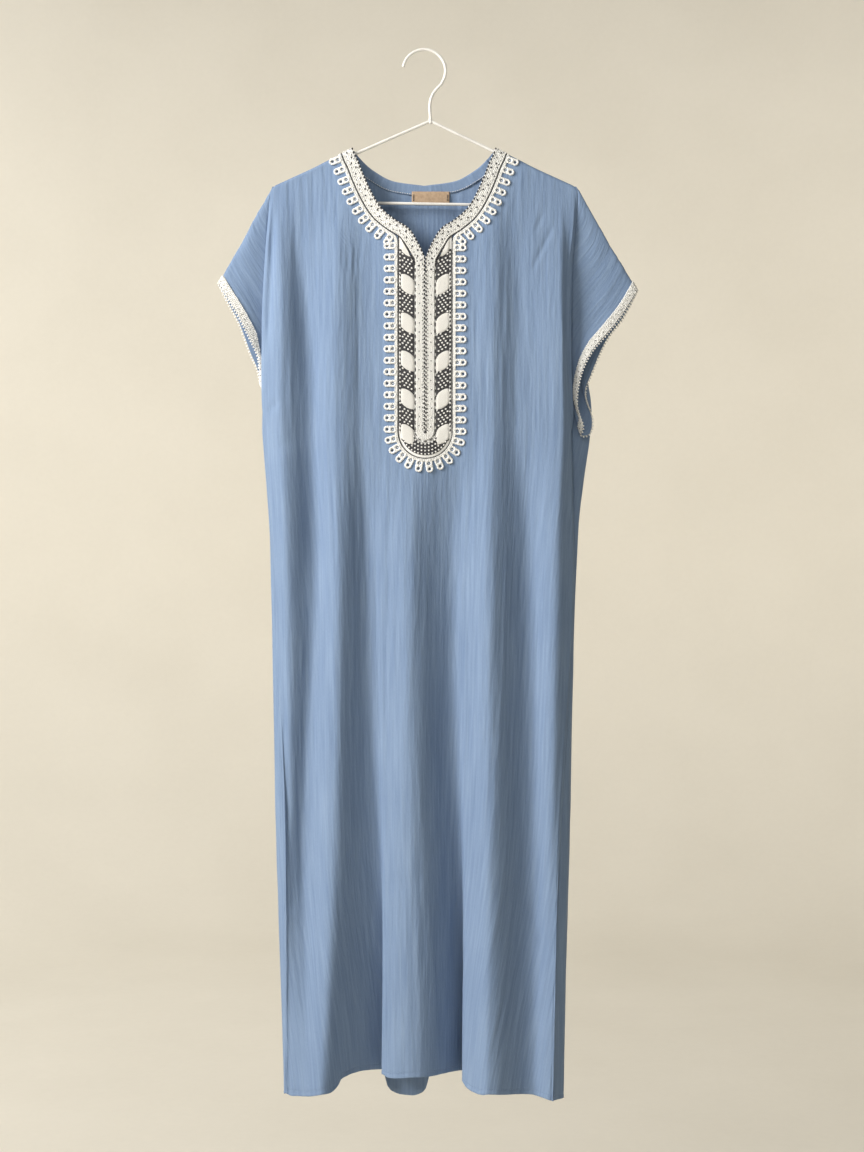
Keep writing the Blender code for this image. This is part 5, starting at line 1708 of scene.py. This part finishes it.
    def edge_chain(self, side: Side) -> None:
        """Lay the chain of short dark and white stitches just inside the outer line."""
        z = np.arange(-284.0, SLIT_END_Z, -5.8)
        for shift, size, thread in (
            (0.0, (1.9, 0.9, 0.6), Thread.DARK), (-2.9, (1.5, 1.1, 0.8), Thread.WHITE),
        ):
            points = beside_slit(side, self.outer - 2.4, z + shift)
            self.lay(points, (0.25 * side.value, 1.0), 1.0, size, thread)

    def foot_rows(self) -> None:
        """Lay the rows of dashes that turn round the foot."""
        angles = np.linspace(2.0 * np.pi - self.foot_turn, np.pi + self.foot_turn, 41)
        way = joined(np.cos(angles), np.sin(angles))
        reaches = np.linspace(15.2, self.outer - 2.4, 8)
        self.patch(SLIT_END + reaches[:, None, None] * way[None], Side.RIGHT)
        for index, radius in enumerate(self.foot_radii):
            arc = arc_trace(radius)
            count = max(3, round(arc.length / self.dash_pitch))
            margin = self.foot_turn * radius
            for shift, size, thread in (
                (0.25, (1.8, 1.0, 0.6), Thread.DARK), (0.75, (1.5, 1.2, 0.8), Thread.WHITE),
            ):
                at = (np.arange(count) + shift + 0.5 * (index % 2) - 0.25) * arc.length / count
                line = arc.at(at[(at > margin) & (at < arc.length - margin)])
                self.lay_along(line, self.dash_lift, size, thread)

    def outline(self) -> None:
        """Draw the unbroken dark line between the field and its edging."""
        reach = self.outer + 0.3
        lines = []
        for side in Side:
            points = beside_slit(side, reach, np.linspace(self.top_z(reach, side), SLIT_END_Z, 200))
            lines.append(Trace(points, np.tile((float(side.value), 0.0), (200, 1))))
        for line in (*lines, arc_trace(reach)):
            self.lay_along(line.even(2.4), 0.8, (1.6, 0.75, 0.6), Thread.DARK)


@dataclass(frozen=True)
class LoopedEdging(Embroidery):
    """The narrow edging that frames the embroidery, with its row of double-eyed loops."""

    eye: Form
    band_width: float = 4.4
    neck_offset: float = 18.0
    placket_offset: float = 37.9
    corner_reach: float = 3.0
    loop_pitch: float = 15.9
    tip_reach: float = 17.0
    closest: float = 0.75
    # Each loop's two eyes: how far past the band, their size and their height.
    eyes: tuple[Size, Size] = ((10.2, 1.1, 0.9), (2.4, 1.12, 0.75))
    eye_radius: float = 3.5
    waist_reach: float = 6.3
    knots_round: int = 8
    knot_lift: float = 1.75

    def trace(self) -> Trace:
        """Return the edging's inner edge, from shoulder to shoulder."""
        halves = []
        for side in Side:
            points = neck_trace(side).moved(self.neck_offset).points
            beside = np.abs(points[:, 0] - CENTRE_X)
            points = points[:int(np.argmax(beside <= self.placket_offset + self.corner_reach))]
            leg = beside_slit(side, self.placket_offset, np.arange(points[-1, 1] - 7.0, SLIT_END_Z, -2.0))
            halves.append(np.concatenate((points, leg)))
        arc = arc_trace(self.placket_offset).points
        points = thinned(np.concatenate((halves[0], arc, halves[1][::-1])), 0.2)
        run = run_along(points)
        points = softened(read_along(np.arange(0.0, run[-1], 1.0), run, points), 15)
        return Trace(points, outward_of(points, 1) * -1.0)

    def build(self) -> Piece:
        """Build the band, its knots and its loops."""
        line = self.trace()
        self.tape(line.at(np.linspace(0.0, line.length, 520)), self.band_width, 0.9, 5)
        for row, share in enumerate((0.28, 0.75)):
            self.lay_along(
                line.even(2.3).moved(self.band_width * share), 1.05, (1.45, 1.0, 0.7), Thread.WHITE,
                0.6 if row else -0.6, 0.2, 200 + row,
            )
        self.loops(self.loop_places(line))
        return self.stitches.build("edging_loops", self.threads)

    def loop_places(self, line: Trace) -> Trace:
        """Return where the loops start, spaced so that their tips lie at an even pitch."""
        turning = np.sum(np.gradient(line.outward, axis=0) * line.ahead, axis=1)
        pace = np.clip(1.0 + self.tip_reach * turning / np.gradient(line.run), self.closest, 2.0)
        tips = np.append(0.0, np.cumsum(pace[1:] * np.diff(line.run)))
        count = round(tips[-1] / self.loop_pitch)
        return line.at(np.interp((np.arange(count) + 0.5) * tips[-1] / count, tips, line.run))

    def loops(self, loops: Trace) -> None:
        """Lay the loops: an eye at the tip and one between it and the band."""
        for reach, scale, lift in self.eyes:
            eyes = loops.moved(self.band_width + reach).points
            self.lay(eyes, loops.outward, lift, (scale, scale, 0.7), Thread.WHITE, self.eye)
            self.knots(loops, self.band_width + reach, self.eye_radius * scale)
        for hand in (-self.eye_radius, self.eye_radius):
            waist = loops.moved(self.band_width + self.waist_reach).points + loops.beside * hand
            self.lay(waist, loops.outward, 0.9, (2.6, 1.7, 1.2), Thread.WHITE)
        for (reach, _, _), size, thread in zip(
            self.eyes, ((1.0, 0.95, 0.4), (1.25, 0.7, 0.6)), (Thread.GROUND, Thread.WHITE)
        ):
            self.lay(loops.moved(self.band_width + reach).points, loops.outward, 0.4, size, thread)

    def knots(self, loops: Trace, reach: float, radius: float) -> None:
        """Lay the small knots on one eye of every loop."""
        random = np.random.default_rng(int(400 + reach))
        for turn in np.linspace(0.0, 2.0 * np.pi, self.knots_round, endpoint=False) + 0.3:
            way = loops.outward * np.cos(turn) + loops.beside * np.sin(turn)
            heading = loops.beside * np.cos(turn) - loops.outward * np.sin(turn)
            points = loops.moved(reach).points + way * radius
            points = points + random.uniform(-0.35, 0.35, points.shape)
            self.lay(points, heading + 0.5 * way, self.knot_lift, (1.5, 0.85, 0.6), Thread.WHITE)


@dataclass(frozen=True)
class CuffBraid(Embroidery):
    """The knitted braid round one cuff, with its toothed edge."""

    side: Side
    width: float = 13.0
    pitch: float = 2.7
    tooth_pitch: float = 4.4
    knot_lift: float = 1.35
    rows: int = 6
    # How far past the cuff's edge the braid reaches, as a share of its width.
    overhang: float = 0.02

    def shell(self) -> tuple[Array, Array]:
        """Return rings round the sleeve, from the braid's upper edge to the cuff, and their normals."""
        near = Sleeve(self.side).rows(np.array([0.55, 1.0]), 8)
        run = near[1] - near[0]
        length = np.maximum(np.linalg.norm(run, axis=-1, keepdims=True), 1e-6)
        reach = np.minimum(self.width, length * 0.85) / length
        rings = np.stack([near[1] - run * reach * share for share in np.linspace(1.0, -self.overhang, 5)])
        if self.side is Side.RIGHT:
            rings = rings[:, ::-1]
        normals = surface_normals(rings)
        normals[:, 0] = normals[:, -1] = unit(normals[:, 0] + normals[:, -1])
        return rings, normals

    def build(self, name: str) -> Piece:
        """Build the braid."""
        rings, normals = self.shell()
        lifts = np.array([0.15, 1.1, 1.2, 1.1, 0.2])[:, None, None]
        self.stitches.strip(rings + normals * lifts, Thread.WHITE)
        for row in range(self.rows):
            self.ring_of_grains(rings, normals, (self.rows - 1 - row + 0.5) / self.rows, row)
        self.teeth(rings, normals)
        return self.stitches.build(name, self.threads)

    def walk(self, rings: Array, normals: Array, share: float, pitch: float, shift: float) -> Frames:
        """Return places, directions and normals evenly round the cuff."""
        place = (1.0 - share) / (1.0 + self.overhang) * (len(rings) - 1)
        low = int(np.clip(np.floor(place), 0, len(rings) - 2))
        ring, normal = (lerp(of[low], of[low + 1], place - low) for of in (rings, normals))
        around = run_along(ring)[-1]
        count = round(around / pitch)
        return along_line(ring, normal, (np.arange(count) + shift) * around / count)

    def ring_of_grains(self, rings: Array, normals: Array, share: float, row: int) -> None:
        """Lay one row of knots round the cuff, some of them dark."""
        places, along, up = self.walk(rings, normals, share, self.pitch, 0.5 * (row % 2))
        random = np.random.default_rng(300 + row + self.side.value)
        places = places + up * self.knot_lift + random.uniform(-0.3, 0.3, places.shape)
        slant = unit(along) + unit(np.cross(up, along)) * (0.7 if row % 2 else -0.7)
        size = np.array((1.6, 1.0, 0.8)) * random.uniform(0.85, 1.15, (len(places), 3))
        self.stitches.lay(self.grain, places, slant, up, size, Thread.WHITE)
        if row == self.rows // 2:
            some = slice(None, None, 3)
            dots = places[some] + up[some] * 0.45
            size = (0.95, 0.75, 0.45)
            self.stitches.lay(self.grain, dots, along[some], up[some], size, Thread.DARK)

    def teeth(self, rings: Array, normals: Array) -> None:
        """Lay the small teeth along the cuff's edge."""
        places, _, up = self.walk(rings, normals, -self.overhang, self.tooth_pitch, 0.0)
        inner = self.walk(rings, normals, 0.3, 1.0, 0.0)[0]
        nearest = np.argmin(np.linalg.norm(places[:, None] - inner[None], axis=-1), axis=1)
        away = unit(places - inner[nearest])
        for lift, reach, size, thread in (
            (0.5, 0.8, (2.0, 1.3, 0.95), Thread.WHITE), (0.9, -0.7, (1.1, 1.25, 0.9), Thread.DARK),
        ):
            self.stitches.lay(self.grain, places + up * lift + away * reach, away, up, size, thread)


@dataclass(frozen=True)
class NeckInside:
    """The facing inside the back neck and the bare label on its lower edge."""

    grain: Form
    facing_half: float = 88.0
    facing_width: float = 15.0
    facing_thick: float = 0.9
    top_gap: float = 0.5
    lift: float = 2.3
    label_x: float = 6.5
    label_top: float = -194.5
    label_size: tuple[float, float] = (53.0, 17.0)
    label_lift: float = 3.6

    def back_out(self, x: Array, z: Array) -> Array:
        """Return how far the back's outer face stands out near the neck."""
        first, last = BACK_CORNERS
        inner = BACK_LINES[first:last + 1]
        share = (x - BACK_TOP_ENDS[0]) / (BACK_TOP_ENDS[1] - BACK_TOP_ENDS[0])
        chest_x = lerp(inner[0, 0], inner[-1, 0], share)
        return -drape(x, z, -through(inner[:, 0], inner[:, 1], chest_x))

    def build_facing(self, cloth: Material, thread: Material) -> Piece:
        """Build the facing, with the line of pale thread along its lower edge."""
        x = SHOULDER_CENTRE_X + np.linspace(-self.facing_half, self.facing_half, 121)
        slope = (back_top(x + 1.0) - back_top(x - 1.0)) / 2.0
        length = np.hypot(1.0, slope)
        down = np.linspace(self.facing_width, 0.0, 10)[:, None]
        at_x = x + slope / length * down
        at_z = back_top(x) - self.top_gap - down / length
        relief = Crinkle(seed=61, wave=0.2, crinkle=0.16, fine=0.1)
        out = self.back_out(at_x, at_z) + self.lift + relief.at(at_x, at_z)
        points = to_place(at_x, out, at_z)
        cloth_at = joined(x[None], -down)
        facing = make_object("cloth_facing", ClothGrid(points, cloth_at).bm, cloth, self.facing_thick)
        stitches = Stitching()
        stitches.sew(self.grain, points[1], surface_normals(points)[1], 3.4, 0.2, (1.35, 0.4, 0.35))
        stitches.build("stitches_facing", (thread,))
        return facing

    def build_label(self, tape: Material, thread: Material) -> Piece:
        """Build the bare label and the dark bars of stitches that hold its two ends."""
        width, height = self.label_size
        u, v = np.meshgrid(np.linspace(-0.5, 0.5, 41), np.linspace(1.0, 0.0, 14))
        x = self.label_x + u * width
        z = self.label_top - v * height
        pucker = 0.22 * Noise(81, 7.0, 9.0).at(x, z)
        out = self.back_out(x, z) + self.label_lift + pucker
        points = to_place(x, out, z)
        stitches = Stitching()
        stitches.strip(points, 0)
        label = stitches.build("label_tape", (tape,))
        add_wall(label, 0.7)
        bars = Stitching()
        normals = surface_normals(points)
        for column in (2, 38):
            line = np.s_[2:-2, column]
            bars.sew(self.grain, points[line], normals[line], 1.9, 0.25, (1.2, 0.65, 0.5), across=True)
        bars.build("stitches_label", (thread,))
        return label


def build_wire_joint(grain: Form, wire: Material) -> Piece:
    """Build the small bead of coating where the hook meets the frame."""
    bead = Stitching()
    for height, radius in ((-99.5, 3.3), (-95.5, 2.9)):
        place = np.array([[6.2, 0.0, height]])
        up = np.array([[0.0, 0.0, 1.0]])
        bead.lay(grain, place, up, np.array([[0.0, -1.0, 0.0]]), (3.4, radius, radius), 0)
    return bead.build("wire_joint", (wire,))


@dataclass(frozen=True)
class Lamp:
    """One soft square lamp: where it hangs, where it points, its side, its watts and its colour."""

    name: str
    place: Place
    aim: Place
    side: float
    power: float
    colour: Colour

    def build(self) -> None:
        """Make the lamp."""
        data = bpy.data.lights.new(self.name, "AREA")
        data.shape = "SQUARE"
        data.size = self.side * MM
        data.energy = self.power
        data.color = self.colour
        lamp = bpy.data.objects.new(self.name, data)
        lamp.location = Vector(self.place) * MM
        lamp.rotation_euler = (Vector(self.aim) - Vector(self.place)).to_track_quat("-Z", "Y").to_euler()
        bpy.context.collection.objects.link(lamp)


@dataclass(frozen=True)
class Studio:
    """A plain pale floor that curves up into a round backdrop, soft lamps and the camera."""

    floor_z: float = -2150.0
    radius: float = 5600.0
    height: float = 5200.0
    curve: float = 1500.0
    room_light: float = 0.08
    camera_x: float = 8.4
    camera_z: float = -735.0
    camera_distance: float = 2400.0
    lens: float = 53.57
    lamps: tuple[Lamp, ...] = (
        Lamp("key", (-2750, -1600, 950), (0, 0, -780), 1400, 186, (1.0, 0.965, 0.92)),
        Lamp("neck", (-200, -1500, 350), (0, 0, -330), 500, 5, (1.0, 0.97, 0.93)),
        Lamp("hem", (-1500, -1700, -2700), (0, 0, -1450), 700, 12, (1.0, 0.97, 0.93)),
        Lamp("fill", (1500, -3200, 300), (0, 0, -735), 2400, 3.5, (0.5, 0.76, 1.0)),
        Lamp("wall_left", (-2700, 1700, 900), (-900, 5600, 300), 1800, 76, (1.0, 0.985, 0.96)),
        Lamp("wall_right", (2700, 1700, 900), (900, 5600, 300), 1800, 27, (1.0, 0.955, 0.9)),
    )

    def build(self) -> None:
        """Make the stage, the lamps and the camera."""
        self.build_stage()
        self.build_camera()
        for lamp in self.lamps:
            lamp.build()
        world = bpy.data.worlds.new("room")
        world.use_nodes = True
        shade = world.node_tree.nodes["Background"]
        shade.inputs["Color"].default_value = (0.62, 0.82, 1.0, 1.0)
        shade.inputs["Strength"].default_value = self.room_light
        bpy.context.scene.world = world
        bpy.context.scene.view_settings.view_transform = "Standard"

    def build_stage(self) -> None:
        """Turn the outline of floor and backdrop round the vertical."""
        flat = self.radius - self.curve
        outline = [(0.0, 0.0), (flat, 0.0)]
        for angle in np.linspace(0.0, np.pi / 2, 9)[1:]:
            outline.append((flat + self.curve * np.sin(angle), self.curve - self.curve * np.cos(angle)))
        outline.append((self.radius, self.height))
        bm = bmesh.new()
        verts = [bm.verts.new((r * MM, 0.0, (self.floor_z + z) * MM)) for r, z in outline]
        edges = [bm.edges.new(pair) for pair in zip(verts, verts[1:])]
        bmesh.ops.spin(
            bm, geom=verts + edges, cent=(0, 0, 0), axis=(0, 0, 1), angle=2 * np.pi, steps=96,
            use_merge=True,
        )
        bmesh.ops.remove_doubles(bm, verts=bm.verts, dist=1e-4)
        bmesh.ops.recalc_face_normals(bm, faces=bm.faces)
        bmesh.ops.reverse_faces(bm, faces=bm.faces)
        mesh = bpy.data.meshes.new("stage")
        bm.to_mesh(mesh)
        bm.free()
        mesh.shade_smooth()
        mesh.materials.append(PLASTER.build())
        stage = bpy.data.objects.new("stage", mesh)
        bpy.context.collection.objects.link(stage)

    def build_camera(self) -> None:
        """Make the level camera that looks along +Y."""
        data = bpy.data.cameras.new("camera")
        data.lens = self.lens
        camera = bpy.data.objects.new("camera", data)
        camera.location = (self.camera_x * MM, -self.camera_distance * MM, self.camera_z * MM)
        camera.rotation_euler = (np.pi / 2, 0.0, 0.0)
        bpy.context.collection.objects.link(camera)
        bpy.context.scene.camera = camera


def dress(piece: Piece, node: str) -> None:
    """Let a piece stand for one of the plain solids, which is hidden."""
    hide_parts(node)
    log.info("%s: %d faces, in place of %s", piece.name, len(piece.data.polygons), node)


def main() -> None:
    """Build every piece in order."""
    Studio().build()
    log.info("studio: stage, lamps and camera")
    cloth = CREPE.build()
    grain = grain_form()
    threads = tuple(
        finish.build() for finish in (WHITE_THREAD, DARK_THREAD, SATIN_THREAD, GROUND_THREAD)
    )
    white, dark = threads[:2]
    blue = BLUE_THREAD.build()
    front = FrontPanel(cloth, grain, blue).build()
    dress(front, "front")
    back = BackPanel(cloth, grain, blue).build()
    dress(back, "back")
    for side, word, flat, area in (
        (Side.RIGHT, "right", (0.267, 0.263), 0.022), (Side.LEFT, "left", (0.343, 0.303), 0.034),
    ):
        sleeve = Sleeve(side).build("cloth_sleeve_" + word, cloth)
        dress(sleeve, "sleeve_" + word)
        braid = CuffBraid(grain, threads, side).build("braid_cuff_" + word)
        dress(braid, "cuff_braid_" + word)
    dress(NeckBraid(grain, threads).build(), "neck_braid")
    dress(PlacketField(grain, threads).build(), "placket_field")
    dress(LoopedEdging(grain, threads, ring_form(3.3, 1.5)).build(), "looped_edging")
    inside = NeckInside(grain)
    facing = inside.build_facing(cloth, white)
    dress(facing, "neck_facing")
    label = inside.build_label(LABEL_TAPE.build(), dark)
    dress(label, "neck_label")
    wire = COATED_WIRE.build()
    for name in ("hanger_hook", "hanger_frame"):
        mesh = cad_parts[name].data
        mesh.materials.clear()
        mesh.materials.append(wire)
        mesh.shade_smooth()
    build_wire_joint(grain, wire)
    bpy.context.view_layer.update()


if __name__ == "__main__":
    logging.basicConfig(level=logging.INFO)
    main()
